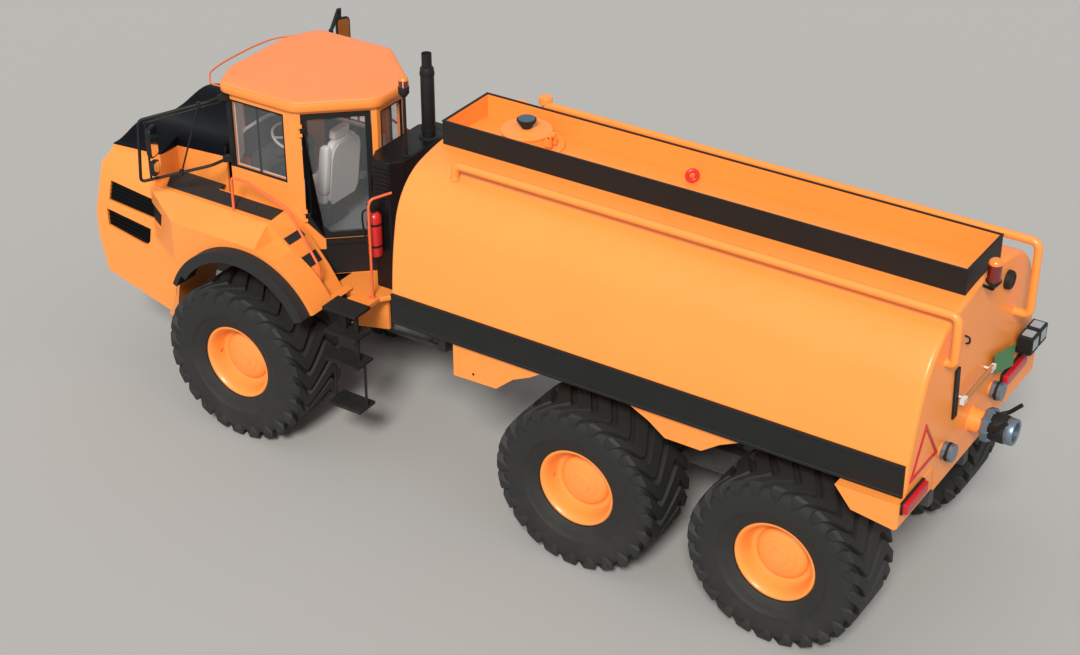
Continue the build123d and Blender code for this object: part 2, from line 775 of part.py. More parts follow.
# Nose: side walls, front wall and the narrow bay sides, open below, behind and under the hood
nose_outline = (
    (front_axle_x + 1300, nose_bottom_rear_z),
    (nose_front_x - 60, nose_bottom_front_z),
    (nose_front_x + 30, 1650),
    (nose_front_x + 30, 1960),
    (nose_front_x, 2110),
    (nose_front_x - 60, 2600),
    (hood_front_x, hood_front_z),
    (cab_front_x + 5, hood_rear_z),
    (cab_front_x + 5, platform_z - 635),
    (front_axle_x + 950, platform_z - 635),
    (front_axle_x + 1180, 1450),
)
hood_slope = (hood_rear_z - hood_front_z) / (hood_front_x - cab_front_x)
nose_shoulder = (
    (nose_half_width, 2110),
    (nose_half_width - 90, 2600),
    (hood_half_width + 10, 2720),
    (hood_half_width, 2790),
)


def nose_section(inset):
    """Across the nose: upright sides that lean in over the vents to the hood's edge."""
    points = [(nose_half_width - inset, 900)]
    points += [(y - inset, z) for y, z in nose_shoulder]
    points += [(hood_half_width - inset, 3000)]
    with BuildSketch(Plane.YZ.offset(cab_front_x - 20)) as section:
        with BuildLine():
            Polyline(*points, *[(-y, z) for y, z in reversed(points)], close=True)
        make_face()
    extrude(section.sketch, amount=1800, mode=Mode.INTERSECT)


with BuildPart() as nose_cavity:
    side_plate(
        (
            (cab_front_x - 10, 905),
            (nose_front_x - 60 - nose_wall, 905),
            (nose_front_x - 60 - nose_wall, nose_bottom_front_z),
            (nose_front_x + 30 - nose_wall, 1650),
            (nose_front_x + 30 - nose_wall, 1960),
            (nose_front_x - nose_wall, 2110),
            (nose_front_x - 60 - nose_wall, 2600),
            (hood_front_x - nose_wall, hood_front_z - 10),
            (hood_front_x - nose_wall, 2990),
            (cab_front_x - 10, 2990),
        ),
        (-nose_half_width, nose_half_width),
    )
    nose_section(nose_wall)

with BuildPart() as nose:
    side_plate(nose_outline, (-nose_half_width, nose_half_width))
    nose_section(0)
    add(nose_cavity.part, mode=Mode.SUBTRACT)
    for side in (1, -1):
        outside = (min(side * 700, side * 1250), max(side * 700, side * 1250))
        block((cab_front_x, nose_step_x), outside, (platform_z - 640, 3000), mode=Mode.SUBTRACT)
        bay = (min(side * 685, side * 714), max(side * 685, side * 714))
        side_plate(
            (
                (cab_front_x + 5, platform_z - 635),
                (nose_step_x + nose_wall, platform_z - 635),
                (nose_step_x + nose_wall, hood_front_z + hood_slope * (hood_front_x - nose_step_x - nose_wall)),
                (cab_front_x + 5, hood_rear_z),
            ),
            bay,
        )
        with BuildSketch(Plane.YZ.offset(nose_step_x)) as step:
            with BuildLine():
                Polyline(
                    (side * 685, platform_z - 635),
                    (side * (nose_half_width - 5), platform_z - 635),
                    (side * (nose_half_width - 5), 2110),
                    (side * (nose_half_width - 95), 2600),
                    (side * (hood_half_width + 5), 2720),
                    (side * (hood_half_width - 5), 2790),
                    (side * (hood_half_width - 5), 2840),
                    (side * 685, 2840),
                    close=True,
                )
            make_face()
        extrude(step.sketch, amount=nose_wall)
        for knuckle_y in (side * hood_knuckle_y - 45, side * hood_knuckle_y + 20):
            block(
                (hood_hinge_x - 13, hood_hinge_x + 20),
                (knuckle_y, knuckle_y + 25),
                (hood_front_z - 130, hood_hinge_z + 20),
            )
        rod(
            (hood_hinge_x, side * hood_knuckle_y - 45, hood_hinge_z),
            (hood_hinge_x, side * hood_knuckle_y + 45, hood_hinge_z),
            hinge_pin_radius,
        )
    side_plate(upper_vent, (-nose_half_width - 10, nose_half_width + 10), mode=Mode.SUBTRACT)
    side_plate(lower_vent, (-nose_half_width - 10, nose_half_width + 10), mode=Mode.SUBTRACT)
    block((nose_front_x - 150, nose_front_x + 60), (-800, 800), (1560, 2450), mode=Mode.SUBTRACT)
    for side in (1, -1):
        light = (side * 960 - 110, side * 960 + 110)
        block((nose_front_x - 150, nose_front_x + 60), light, (1900, 2100), mode=Mode.SUBTRACT)
nose.part.label = "nose"
export_step(nose.part, "parts/nose.step")

# Grilles: slatted panels behind the nose openings, with the headlamps beside the front one
with BuildPart() as grilles:
    back = nose_front_x - nose_wall - seat_gap
    front_line = ((back - 2, 1500), (back + 30, 1650), (back + 30, 1960), (back, 2110), (back - 47, 2490))
    rear_line = [(x - 30, z) for x, z in reversed(front_line)]
    side_plate((*front_line, *rear_line), (-nose_half_width + 150, nose_half_width - 150))
    for slat in range(7):
        slat_z = 1620 + slat * 120
        block((nose_front_x - 80, nose_front_x + 12), (-800 + seat_gap, 800 - seat_gap), (slat_z, slat_z + 35))
    for side in (1, -1):
        face = nose_half_width - nose_wall - seat_gap
        span = (min(side * (face - 25), side * face), max(side * (face - 25), side * face))
        side_plate(
            (
                (front_axle_x + 1490, 1710),
                (front_axle_x + 2200, 1710),
                (front_axle_x + 2200, 2110),
                (front_axle_x + 1490, 2110),
            ),
            span,
        )
        lean = 90 / 490
        with BuildSketch(Plane.YZ.offset(nose_step_x + nose_wall + 5)) as panel:
            with BuildLine():
                Polyline(
                    (side * face, 2080),
                    (side * face, 2110),
                    (side * (face - lean * 330), 2440),
                    (side * (face - lean * 330 - 25), 2440),
                    (side * (face - 25), 2110),
                    (side * (face - 25), 2080),
                    close=True,
                )
            make_face()
        extrude(panel.sketch, amount=front_axle_x + 2200 - nose_step_x - nose_wall - 5)
    with BuildPart(mode=Mode.PRIVATE) as rear_vent:
        side_plate(
            (
                (nose_step_x - seat_gap, 2342),
                (front_axle_x + 1192, 2318),
                (front_axle_x + 1258, 2116),
                (nose_step_x - seat_gap, 2128),
            ),
            (vent_depth_y + seat_gap, fender_outer_y),
        )
        plan_plate(
            (
                (nose_step_x + 10, nose_half_width - 15),
                (nose_step_x + 10, fender_outer_y + 10),
                (front_axle_x + 880, fender_outer_y + 10),
                (front_axle_x + 880, fender_outer_y - 15),
            ),
            (1700, 2700),
            mode=Mode.SUBTRACT,
        )
        mirror(about=Plane.XZ)
    add(rear_vent.part)
grilles.part.label = "grilles"
export_step(grilles.part, "parts/grilles.step")

# Hood: the lid over the engine, hinged at its front edge
hood_crown = ((0, 35), (300, 90), (600, 130), (hood_half_width, 20))
hood_length = math.hypot(hood_front_x + 10 - cab_front_x - 12, hood_rear_z - hood_front_z)
with BuildPart() as hood:
    slope_plane = Plane(
        origin=(cab_front_x + 12, 0, hood_rear_z + 1),
        x_dir=(0, 1, 0),
        z_dir=(hood_front_x + 10 - cab_front_x - 12, 0, hood_front_z - hood_rear_z),
    )
    with BuildSketch(slope_plane) as crown_section:
        with BuildLine():
            edge = [(y, -z if slope_plane.y_dir.Z < 0 else z) for y, z in hood_crown]
            Polyline(
                (-hood_half_width, 0),
                *[(-y, z) for y, z in reversed(edge)],
                *edge[1:],
                (hood_half_width, 0),
                close=True,
            )
        make_face()
    extrude(crown_section.sketch, amount=hood_length)
    block((cab_front_x, cab_front_x + 11), (-1100, 1100), (2700, 3100), mode=Mode.SUBTRACT)
    for side in (1, -1):
        outside = (min(side * hood_narrow_half_width, side * 1300), max(side * hood_narrow_half_width, side * 1300))
        block((cab_front_x, nose_step_x - 2), outside, (hood_front_z - 50, hood_rear_z + 200), mode=Mode.SUBTRACT)
        knuckle = (side * hood_knuckle_y - 16, side * hood_knuckle_y + 16)
        block((hood_front_x - 40, hood_hinge_x), knuckle, (hood_front_z + 7, hood_hinge_z + 12))
        rod((hood_hinge_x, knuckle[0], hood_hinge_z), (hood_hinge_x, knuckle[1], hood_hinge_z), 18)
        rod(
            (hood_hinge_x, knuckle[0] - 1, hood_hinge_z),
            (hood_hinge_x, knuckle[1] + 1, hood_hinge_z),
            hinge_pin_radius + hinge_play,
            mode=Mode.SUBTRACT,
        )
hood.part.label = "hood"
export_step(hood.part, "parts/hood.step")

# Fenders: an arch over each front wheel with a flat walkway on top
fender_inner_y = cab_half_width + 1
arch_start = 22
arch_end = 152


def arch_point(radius, angle):
    return (
        arch_centre_x + radius * math.cos(math.radians(angle)),
        arch_centre_z + radius * math.sin(math.radians(angle)),
    )


with BuildPart() as fenders:
    with BuildSketch(Plane(origin=(0, fender_inner_y, 0), x_dir=(1, 0, 0), z_dir=(0, -1, 0))):
        with BuildLine():
            Polyline(
                arch_point(arch_inner_radius, arch_start),
                arch_point(arch_outer_radius, arch_start),
                (front_axle_x + 940, platform_z - 640 + seat_gap),
                (nose_step_x - seat_gap, platform_z - 640 + seat_gap),
                (nose_step_x - seat_gap, platform_z),
                (front_axle_x - 200, platform_z),
                arch_point(arch_outer_radius, 100),
            )
            ThreePointArc(
                arch_point(arch_outer_radius, 100),
                arch_point(arch_outer_radius, 126),
                arch_point(arch_outer_radius, arch_end),
            )
            Line(arch_point(arch_outer_radius, arch_end), arch_point(arch_inner_radius, arch_end))
            ThreePointArc(
                arch_point(arch_inner_radius, arch_end),
                arch_point(arch_inner_radius, 90),
                arch_point(arch_inner_radius, arch_start),
            )
        make_face()
    extrude(amount=-(fender_outer_y - fender_inner_y))
    plan_plate(
        (
            (nose_step_x + 10, nose_half_width),
            (nose_step_x + 10, fender_outer_y + 10),
            (front_axle_x + 880, fender_outer_y + 10),
        ),
        (1700, 2700),
        mode=Mode.SUBTRACT,
    )
    side_plate(upper_vent, (vent_depth_y, fender_outer_y + 50), mode=Mode.SUBTRACT)
    with BuildSketch(Plane.YZ.offset(front_axle_x - 1300)):
        with BuildLine():
            Polyline(
                (walkway_edge_y, platform_z),
                (walkway_edge_y, platform_z + 50),
                (fender_outer_y + 50, platform_z + 50),
                (fender_outer_y + 50, fender_outer_z - 20),
                (fender_outer_y, fender_outer_z),
                close=True,
            )
        make_face()
    extrude(amount=2800, mode=Mode.SUBTRACT)
    side_plate(
        (
            (front_axle_x - 200, platform_z + 10),
            (front_axle_x - 200, platform_z),
            (front_axle_x - 490, 2330),
            (front_axle_x - 740, 2040),
            (front_axle_x - 870, 1850),
            (front_axle_x - 1200, 1850),
            (front_axle_x - 1200, platform_z + 10),
        ),
        (fender_inner_y - 1, walkway_edge_y),
        mode=Mode.SUBTRACT,
    )
    side_plate(
        (
            (front_axle_x - 100, 2345),
            (front_axle_x - 200, platform_z),
            (front_axle_x - 490, 2330),
            (front_axle_x - 740, 2040),
            (front_axle_x - 870, 1850),
            (front_axle_x - 920, cab_base_z),
            (front_axle_x - 850, cab_base_z),
            (front_axle_x - 680, 2020),
            (front_axle_x - 440, 2250),
        ),
        (fender_inner_y, walkway_edge_y + 20),
    )
    mirror(about=Plane.XZ)
fenders.part.label = "fenders"
export_step(fenders.part, "parts/fenders.step")

# Rubbers: a lip under the outer edge of each fender and a non-slip mat on its top
with BuildPart() as fender_rubbers:
    with BuildSketch(Plane(origin=(0, fender_outer_y - 160, 0), x_dir=(1, 0, 0), z_dir=(0, -1, 0))):
        with BuildLine():
            outer_lip = arch_inner_radius - seat_gap
            inner_lip = arch_inner_radius - flare_thickness
            ThreePointArc(
                arch_point(outer_lip, arch_start),
                arch_point(outer_lip, 90),
                arch_point(outer_lip, arch_end),
            )
            Line(arch_point(outer_lip, arch_end), arch_point(inner_lip, arch_end))
            ThreePointArc(
                arch_point(inner_lip, arch_end),
                arch_point(inner_lip, 90),
                arch_point(inner_lip, arch_start),
            )
            Line(arch_point(inner_lip, arch_start), arch_point(outer_lip, arch_start))
        make_face()
    extrude(amount=-(160 + flare_reach))
    plan_plate(
        (
            (front_axle_x + 1430, 900),
            (front_axle_x + 1350, 720),
            (front_axle_x + 760, 720),
            (front_axle_x + 760, 850),
            (front_axle_x - 170, 850),
            (front_axle_x - 200, 1100),
            (front_axle_x + 1300, 1100),
        ),
        (platform_z + seat_gap, platform_z + 8),
    )
    for high, low in (((-400, 2395.2), (-475, 2340.9)), ((-600, 2202.4), (-690, 2098))):
        side_plate(
            (
                (front_axle_x + high[0] - 0.2, high[1] + 0.2),
                (front_axle_x + low[0] - 0.2, low[1] + 0.2),
                (front_axle_x + low[0] - 10, low[1] + 12),
                (front_axle_x + high[0] - 10, high[1] + 12),
            ),
            (fender_inner_y + 60, walkway_edge_y - 10),
        )
    mirror(about=Plane.XZ)
fender_rubbers.part.label = "fender_rubbers"
export_step(fender_rubbers.part, "parts/fender_rubbers.step")

# Cab: a hollow shell with its windows cut, walls as thick as the real pillars
cab_plan = (
    (cab_front_x, cab_front_half_width),
    (cab_corner_x, cab_half_width),
    (cab_post_x, cab_half_width),
    (cab_rear_x, cab_rear_half_width),
    (cab_rear_x, -cab_rear_half_width),
    (cab_post_x, -cab_half_width),
    (cab_corner_x, -cab_half_width),
    (cab_front_x, -cab_front_half_width),
)
door_dir = Vector(cab_rear_x - cab_post_x, cab_rear_half_width - cab_half_width, 0).normalized()
door_out = Vector(door_dir.Y, -door_dir.X, 0)
if door_out.Y < 0:
    door_out = door_out * -1
door_face_length = math.hypot(cab_rear_x - cab_post_x, cab_rear_half_width - cab_half_width)


def panel_on_face(side, start, end, low, high, inner, outer, mode=Mode.ADD):
    """A box set along an angled rear face: distances along it, heights, depths outward."""
    corner = Vector(cab_post_x, side * cab_half_width, 0)
    along = Vector(door_dir.X, side * door_dir.Y, 0)
    out = Vector(door_out.X, side * door_out.Y, 0)
    points = [
        corner + along * start + out * inner,
        corner + along * end + out * inner,
        corner + along * end + out * outer,
        corner + along * start + out * outer,
    ]
    plan_plate([(p.X, p.Y) for p in points], (low, high), mode=mode)


def face_panel(points, inner, outer, mode=Mode.ADD):
    """An outline on the left rear face, as distances along it and heights, between two depths."""
    plane = Plane(
        origin=Vector(cab_post_x, cab_half_width, 0) + door_out * inner,
        x_dir=door_dir,
        z_dir=door_out if door_dir.cross(Vector(0, 0, 1)).dot(door_out) > 0 else door_out * -1,
    )
    rise = 1 if plane.y_dir.Z > 0 else -1
    with BuildSketch(plane) as outline:
        with BuildLine():
            Polyline(*[(along, rise * z) for along, z in points], close=True)
        make_face()
    depth = outer - inner
    extrude(outline.sketch, amount=depth if plane.z_dir.dot(door_out) > 0 else -depth, mode=mode)


def door_edge(start, end, low, high):
    """The door's outline: its lower front corner is cut away above the step slope."""
    return ((start, high), (end, high), (end, low), (start + door_cut_along, low), (start, low + door_cut_rise))


def door_hinge_at(height):
    """A point on the door's hinge line."""
    corner = Vector(cab_post_x, cab_half_width, height)
    return tuple(corner + door_dir * door_hinge_along + door_out * door_hinge_out)


door_hinge_along = 53
door_hinge_out = 24
door_knuckles = (2540, 3560)
door_cut_along = 184
door_cut_rise = 215
door_low_z = 2229
door_high_z = cab_roof_z - 40
with BuildPart() as cab_shell:
    plan_plate(cab_plan, (cab_base_z, cab_roof_z))
    with BuildSketch(Plane.XY.offset(cab_floor_z + cab_wall)):
        with BuildLine():
            Polyline(*cab_plan, close=True)
        make_face()
        offset(amount=-cab_wall, kind=Kind.INTERSECTION, mode=Mode.REPLACE)
    extrude(amount=cab_roof_z - cab_floor_z, mode=Mode.SUBTRACT)
    block(
        (front_axle_x - 220, front_axle_x + 500),
        (-cab_half_width - 10, cab_half_width + 10),
        (window_sill_z, window_head_z),
        mode=Mode.SUBTRACT,
    )
    block((cab_front_x - 80, cab_front_x + 10), (-430, 430), (window_sill_z + 30, window_head_z), mode=Mode.SUBTRACT)
    block((cab_rear_x - 10, cab_rear_x + 80), (-180, 180), (2500, window_head_z), mode=Mode.SUBTRACT)
    face_panel(door_edge(50, door_face_length - 60, door_low_z, door_high_z), -120, 20, mode=Mode.SUBTRACT)
    panel_on_face(-1, 80, door_face_length - 80, 2300, window_head_z, -120, 20, mode=Mode.SUBTRACT)
    for knuckle_z in door_knuckles:
        for low in (knuckle_z - 70, knuckle_z + 31):
            panel_on_face(1, 18, 46, low, low + 39, -2, door_hinge_out + 12)
            panel_on_face(1, 41, door_hinge_along + 10, low, low + 39, door_hinge_out - 12, door_hinge_out + 12)
        rod(door_hinge_at(knuckle_z - 70), door_hinge_at(knuckle_z + 70), hinge_pin_radius)
cab_shell.part.label = "cab_shell"
export_step(cab_shell.part, "parts/cab_shell.step")

# Roof: a faceted cap that overhangs the walls
with BuildPart() as cab_roof:
    with BuildSketch(Plane.XY.offset(cab_roof_z)) as roof_sketch:
        with BuildLine():
            Polyline(*cab_plan, close=True)
        make_face()
        offset(amount=roof_overhang, kind=Kind.INTERSECTION, mode=Mode.REPLACE)
    extrude(amount=roof_edge_height)
    top_face = cab_roof.faces().sort_by(Axis.Z)[-1]
    extrude(top_face, amount=roof_crown_height, taper=55)
cab_roof.part.label = "cab_roof"
export_step(cab_roof.part, "parts/cab_roof.step")

# Glass: a pane in each window, in the middle of its wall
with BuildPart() as cab_glass:
    for side in (1, -1):
        span = (side * (cab_half_width - 30) - glass_thickness / 2, side * (cab_half_width - 30) + glass_thickness / 2)
        block(
            (front_axle_x - 220 + seat_gap, front_axle_x + 500 - seat_gap),
            span,
            (window_sill_z + seat_gap, window_head_z - seat_gap),
        )
    block(
        (cab_front_x - 35, cab_front_x - 25),
        (-430 + seat_gap, 430 - seat_gap),
        (window_sill_z + 30 + seat_gap, window_head_z - seat_gap),
    )
    block(
        (cab_rear_x + 25, cab_rear_x + 35),
        (-180 + seat_gap, 180 - seat_gap),
        (2500 + seat_gap, window_head_z - seat_gap),
    )
    panel_on_face(
        -1, 80 + seat_gap, door_face_length - 80 - seat_gap, 2300 + seat_gap, window_head_z - seat_gap, -35, -25
    )
cab_glass.part.label = "cab_glass"
export_step(cab_glass.part, "parts/cab_glass.step")

# Door: a framed glass door in the left rear face, hinged at its front edge
door_start = 50 + door_gap
door_end = door_face_length - 60 - door_gap
door_bottom_z = door_low_z + door_gap
door_top_z = door_high_z - door_gap
door_rail = 60


def door_pane(inset):
    """The door's glazed opening, drawn in from the frame."""
    return door_edge(
        door_start + door_rail + inset,
        door_end - door_rail - inset,
        door_bottom_z + door_rail + inset,
        door_top_z - door_rail - inset,
    )


with BuildPart() as door_frame:
    face_panel(door_edge(door_start, door_end, door_bottom_z, door_top_z), -door_thickness, 0)
    face_panel(door_pane(0), -door_thickness - 10, 10, mode=Mode.SUBTRACT)
    for knuckle_z in door_knuckles:
        panel_on_face(1, door_hinge_along + 4, door_hinge_along + 45, knuckle_z - 30, knuckle_z + 30, -2, door_hinge_out)
        rod(door_hinge_at(knuckle_z - 30), door_hinge_at(knuckle_z + 30), 14)
        rod(
            door_hinge_at(knuckle_z - 31),
            door_hinge_at(knuckle_z + 31),
            hinge_pin_radius + hinge_play,
            mode=Mode.SUBTRACT,
        )
door_frame.part.label = "door_frame"
export_step(door_frame.part, "parts/door_frame.step")

with BuildPart() as door_glass:
    face_panel(door_pane(seat_gap), -35, -25)
door_glass.part.label = "door_glass"
export_step(door_glass.part, "parts/door_glass.step")

# Seat and steering column
seat_x = front_axle_x - 250
floor_top_z = cab_floor_z + cab_wall
with BuildPart() as seat:
    block((seat_x - 200, seat_x + 200), (-170, 170), (floor_top_z, floor_top_z + 330))
    block((seat_x - 260, seat_x + 260), (-260, 260), (floor_top_z + 330, floor_top_z + 470))
    side_plate(
        (
            (seat_x - 260, floor_top_z + 400),
            (seat_x - 130, floor_top_z + 400),
            (seat_x - 200, floor_top_z + 1080),
            (seat_x - 300, floor_top_z + 1080),
        ),
        (-240, 240),
    )
seat.part.label = "seat"
export_step(seat.part, "parts/seat.step")

with BuildPart() as steering_console:
    block((cab_front_x - 320, cab_front_x - cab_wall), (-400, 400), (floor_top_z, floor_top_z + 780))
    column_base = (cab_front_x - 330, 0, floor_top_z + 560)
    column_top = (cab_front_x - 480, 0, floor_top_z + 830)
    rod((cab_front_x - 280, 0, floor_top_z + 470), column_top, 35)
    lean = Vector(*column_top) - Vector(*column_base)
    with BuildSketch(Plane(origin=column_top, z_dir=lean)):
        Circle(225)
    extrude(amount=30)
steering_console.part.label = "steering_console"
export_step(steering_console.part, "parts/steering_console.step")

# Air box behind the cab, with the exhaust stack and the beacon on top
airbox_front_x = cab_rear_x - 60
airbox_rear_x = front_axle_x - 1530
airbox_top_z = 3330
with BuildPart() as airbox:
    plan_plate(
        (
            (airbox_front_x, 385),
            (airbox_front_x - 88, 560),
            (airbox_rear_x + 120, 560),
            (airbox_rear_x, 420),
            (airbox_rear_x, -420),
            (airbox_rear_x + 120, -560),
            (airbox_front_x - 88, -560),
            (airbox_front_x, -385),
        ),
        (cab_base_z, airbox_top_z),
    )
airbox.part.label = "airbox"
export_step(airbox.part, "parts/airbox.step")

with BuildPart() as exhaust_stack:
    with Locations((front_axle_x - 1400, -200, airbox_top_z)):
        Cylinder(75, 820, align=(Align.CENTER, Align.CENTER, Align.MIN))
        Cylinder(55, 980, align=(Align.CENTER, Align.CENTER, Align.MIN))
exhaust_stack.part.label = "exhaust_stack"
export_step(exhaust_stack.part, "parts/exhaust_stack.step")

with BuildPart() as beacon:
    with Locations((front_axle_x - 1420, 300, airbox_top_z)):
        Cylinder(18, 560, align=(Align.CENTER, Align.CENTER, Align.MIN))
    with Locations((front_axle_x - 1420, 300, airbox_top_z + 560)):
        Cylinder(60, 70, align=(Align.CENTER, Align.CENTER, Align.MIN))
        Cylinder(48, 170, align=(Align.CENTER, Align.CENTER, Align.MIN))
beacon.part.label = "beacon"
export_step(beacon.part, "parts/beacon.step")

# Rear deck: the orange platform that carries the air box and the ladder
deck_front_x = front_axle_x - 780
deck_rear_x = front_axle_x - 1370
deck_low_z = cab_base_z - 60
with BuildPart() as rear_deck:
    deck_half = (
        (deck_front_x, fender_inner_y - seat_gap),
        (front_axle_x - 1080, fender_inner_y - seat_gap),
        (front_axle_x - 1080, 1160),
        (deck_rear_x, 1160),
        (deck_rear_x, 760),
        (airbox_rear_x, 560),
    )
    plan_plate((*deck_half, *[(x, -y) for x, y in reversed(deck_half)]), (deck_low_z, cab_base_z))
    for side in (1, -1):
        span = (min(side * 560, side * 600), max(side * 560, side * 600))
        side_plate(
            (
                (deck_front_x, deck_low_z),
                (deck_front_x, 1165),
                (front_axle_x - 1360, 1290),
                (front_axle_x - 1360, deck_low_z),
            ),
            span,
        )
rear_deck.part.label = "rear_deck"
export_step(rear_deck.part, "parts/rear_deck.step")

# Ladders: a hanging post with steps behind each front wheel
ladder_y = 1300
ladder_treads = (690, 1250, 1600, 1890)
with BuildPart() as ladders:
    for side in (1, -1):
        wide = (side * ladder_y - 140, side * ladder_y + 140)
        for step_z in ladder_treads:
            block((front_axle_x - 1560, front_axle_x - 1120), wide, (step_z, step_z + 35))
        for post_x in (front_axle_x - 1560, front_axle_x - 1145):
            block((post_x, post_x + 25), (side * ladder_y - 12, side * ladder_y + 12), (ladder_treads[0], 1250))
        block((front_axle_x - 1490, front_axle_x - 1430), (side * ladder_y - 12, side * ladder_y + 12), (1250, 1900))
        bracket = (min(side * 1100, side * 1300), max(side * 1100, side * 1300))
        block((front_axle_x - 1330, front_axle_x - 1270), bracket, (deck_low_z - 40, deck_low_z - seat_gap))
        block((front_axle_x - 1330, front_axle_x - 1270), (side * ladder_y - 12, side * ladder_y + 12), (1600, 1900))
ladders.part.label = "ladders"
export_step(ladders.part, "parts/ladders.step")

# Mirrors: a tube hoop out from each front cab corner with its mirror head
mirror_y = nose_half_width + 300
with BuildPart() as mirror_arms:
    for side in (1, -1):
        tube(
            (
                (cab_corner_x - 40, side * (cab_half_width - 20), 3700),
                (cab_corner_x + 80, side * (cab_half_width + 240), 3660),
                (cab_corner_x + 670, side * mirror_y, 3510),
                (cab_corner_x + 730, side * mirror_y, 2770),
                (cab_corner_x + 80, side * (cab_half_width + 240), 2960),
                (cab_corner_x - 40, side * (cab_half_width - 20), 2990),
            ),
            18,
            60,
        )
    add(cab_shell.part, mode=Mode.SUBTRACT)
mirror_arms.part.label = "mirror_arms"
export_step(mirror_arms.part, "parts/mirror_arms.step")

with BuildPart() as mirror_heads:
    for side in (1, -1):
        span = (min(side * (mirror_y - 150), side * (mirror_y + 80)), max(side * (mirror_y - 150), side * (mirror_y + 80)))
        block((cab_corner_x + 520, cab_corner_x + 580), span, (2880, 3480))
        for arm_z, arm_x in ((3000, 705), (3350, 683)):
            rod((cab_corner_x + 560, side * mirror_y, arm_z), (cab_corner_x + arm_x, side * mirror_y, arm_z), 10)
    add(mirror_arms.part, mode=Mode.SUBTRACT)
mirror_heads.part.label = "mirror_heads"
export_step(mirror_heads.part, "parts/mirror_heads.step")

# Handrails: a hoop on each walkway and a rail beside the air box
rail_line_y = walkway_edge_y - 30
with BuildPart() as handrails:
    for side in (1, -1):
        tube(
            (
                (front_axle_x + 300, side * rail_line_y, platform_z - 20),
                (front_axle_x + 300, side * rail_line_y, platform_z + 400),
                (front_axle_x + 80, side * rail_line_y, platform_z + 400),
                (front_axle_x - 480, side * rail_line_y, platform_z + 220),
                (front_axle_x - 860, side * rail_line_y, 2180),
                (front_axle_x - 860, side * rail_line_y, 1855),
            ),
            15,
            50,
        )
        tube(
            (
                (front_axle_x - 1235, side * 840, cab_base_z),
                (front_axle_x - 1235, side * 840, cab_base_z + 1150),
                (front_axle_x - 1235, side * 540, cab_base_z + 1150),
            ),
            15,
            60,
        )
    add(fenders.part, mode=Mode.SUBTRACT)
    add(airbox.part, mode=Mode.SUBTRACT)
handrails.part.label = "handrails"
export_step(handrails.part, "parts/handrails.step")

# Fire extinguisher beside the air box
with BuildPart() as extinguisher:
    with Locations((front_axle_x - 1310, 645, cab_floor_z + 190)):
        Cylinder(80, 520, align=(Align.CENTER, Align.CENTER, Align.MIN))
        Cylinder(30, 590, align=(Align.CENTER, Align.CENTER, Align.MIN))
    block((front_axle_x - 1350, front_axle_x - 1270), (560 + seat_gap, 600), (cab_floor_z + 150, cab_floor_z + 600))
extinguisher.part.label = "extinguisher"
export_step(extinguisher.part, "parts/extinguisher.step")
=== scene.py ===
import json
import math

import bmesh
import bpy
import numpy as np
from mathutils import Matrix, Vector


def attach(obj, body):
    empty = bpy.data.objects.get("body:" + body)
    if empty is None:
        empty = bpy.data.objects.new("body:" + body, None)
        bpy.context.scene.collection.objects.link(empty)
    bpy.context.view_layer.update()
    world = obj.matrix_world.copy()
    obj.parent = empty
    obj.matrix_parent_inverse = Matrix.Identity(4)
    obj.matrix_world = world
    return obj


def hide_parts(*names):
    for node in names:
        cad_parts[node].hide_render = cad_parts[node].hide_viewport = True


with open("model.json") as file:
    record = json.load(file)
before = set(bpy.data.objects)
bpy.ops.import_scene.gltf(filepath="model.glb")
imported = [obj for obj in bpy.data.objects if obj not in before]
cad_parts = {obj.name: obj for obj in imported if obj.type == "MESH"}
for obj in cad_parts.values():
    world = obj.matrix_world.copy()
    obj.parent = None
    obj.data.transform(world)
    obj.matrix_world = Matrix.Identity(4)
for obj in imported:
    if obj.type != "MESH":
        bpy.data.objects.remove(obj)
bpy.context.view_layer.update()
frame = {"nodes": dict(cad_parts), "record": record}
nodes = frame["nodes"]
record = frame["record"]

# Studio: a plain pale floor, a sun from the machine's left and rear, a soft sky, and the camera above and
# behind the left side, looking down at the whole machine.
picture_width, focal_length, sensor_width = 1080, 2088.02, 36.0
camera_place = (-10.57937, 16.24327, 13.18434)
camera_right = Vector((-0.83776588, -0.54602362, -0.00255656))
camera_up = Vector((0.27922525, -0.43243045, 0.85734308))
sky_strength, backdrop_strength = 0.54, 0.9
sun_strength, sun_spread = 3.3, 14
sunlight = Vector((0.36, -0.80, -0.78))
floor_reach = 60
scene = bpy.context.scene
scene.view_settings.view_transform = "Standard"


def linked(name, data):
    """A new object of the scene."""
    made = bpy.data.objects.new(name, data)
    scene.collection.objects.link(made)
    return made


def place_node(tree, kind, values=None, **settings):
    """One shader node: settings are its own options, values its inputs, as numbers or as sockets to link."""
    made = tree.nodes.new("ShaderNode" + kind)
    for key, value in settings.items():
        setattr(made, key, value)
    for key, value in (values or {}).items():
        if isinstance(value, bpy.types.NodeSocket):
            tree.links.new(value, made.inputs[key])
        else:
            made.inputs[key].default_value = value
    return made


def new_look(name):
    """A material, its node tree and the inputs of its shader."""
    look = bpy.data.materials.new(name)
    look.use_nodes = True
    return look, look.node_tree, look.node_tree.nodes["Principled BSDF"].inputs


camera_data = bpy.data.cameras.new("camera")
camera_data.sensor_fit = "HORIZONTAL"
camera_data.sensor_width = sensor_width
camera_data.lens = focal_length / picture_width * sensor_width
camera_data.clip_end = 300.0
camera = linked("camera", camera_data)
facing = Matrix((camera_right, camera_up, camera_right.cross(camera_up))).transposed().to_4x4()
camera.matrix_world = Matrix.Translation(camera_place) @ facing
scene.camera = camera

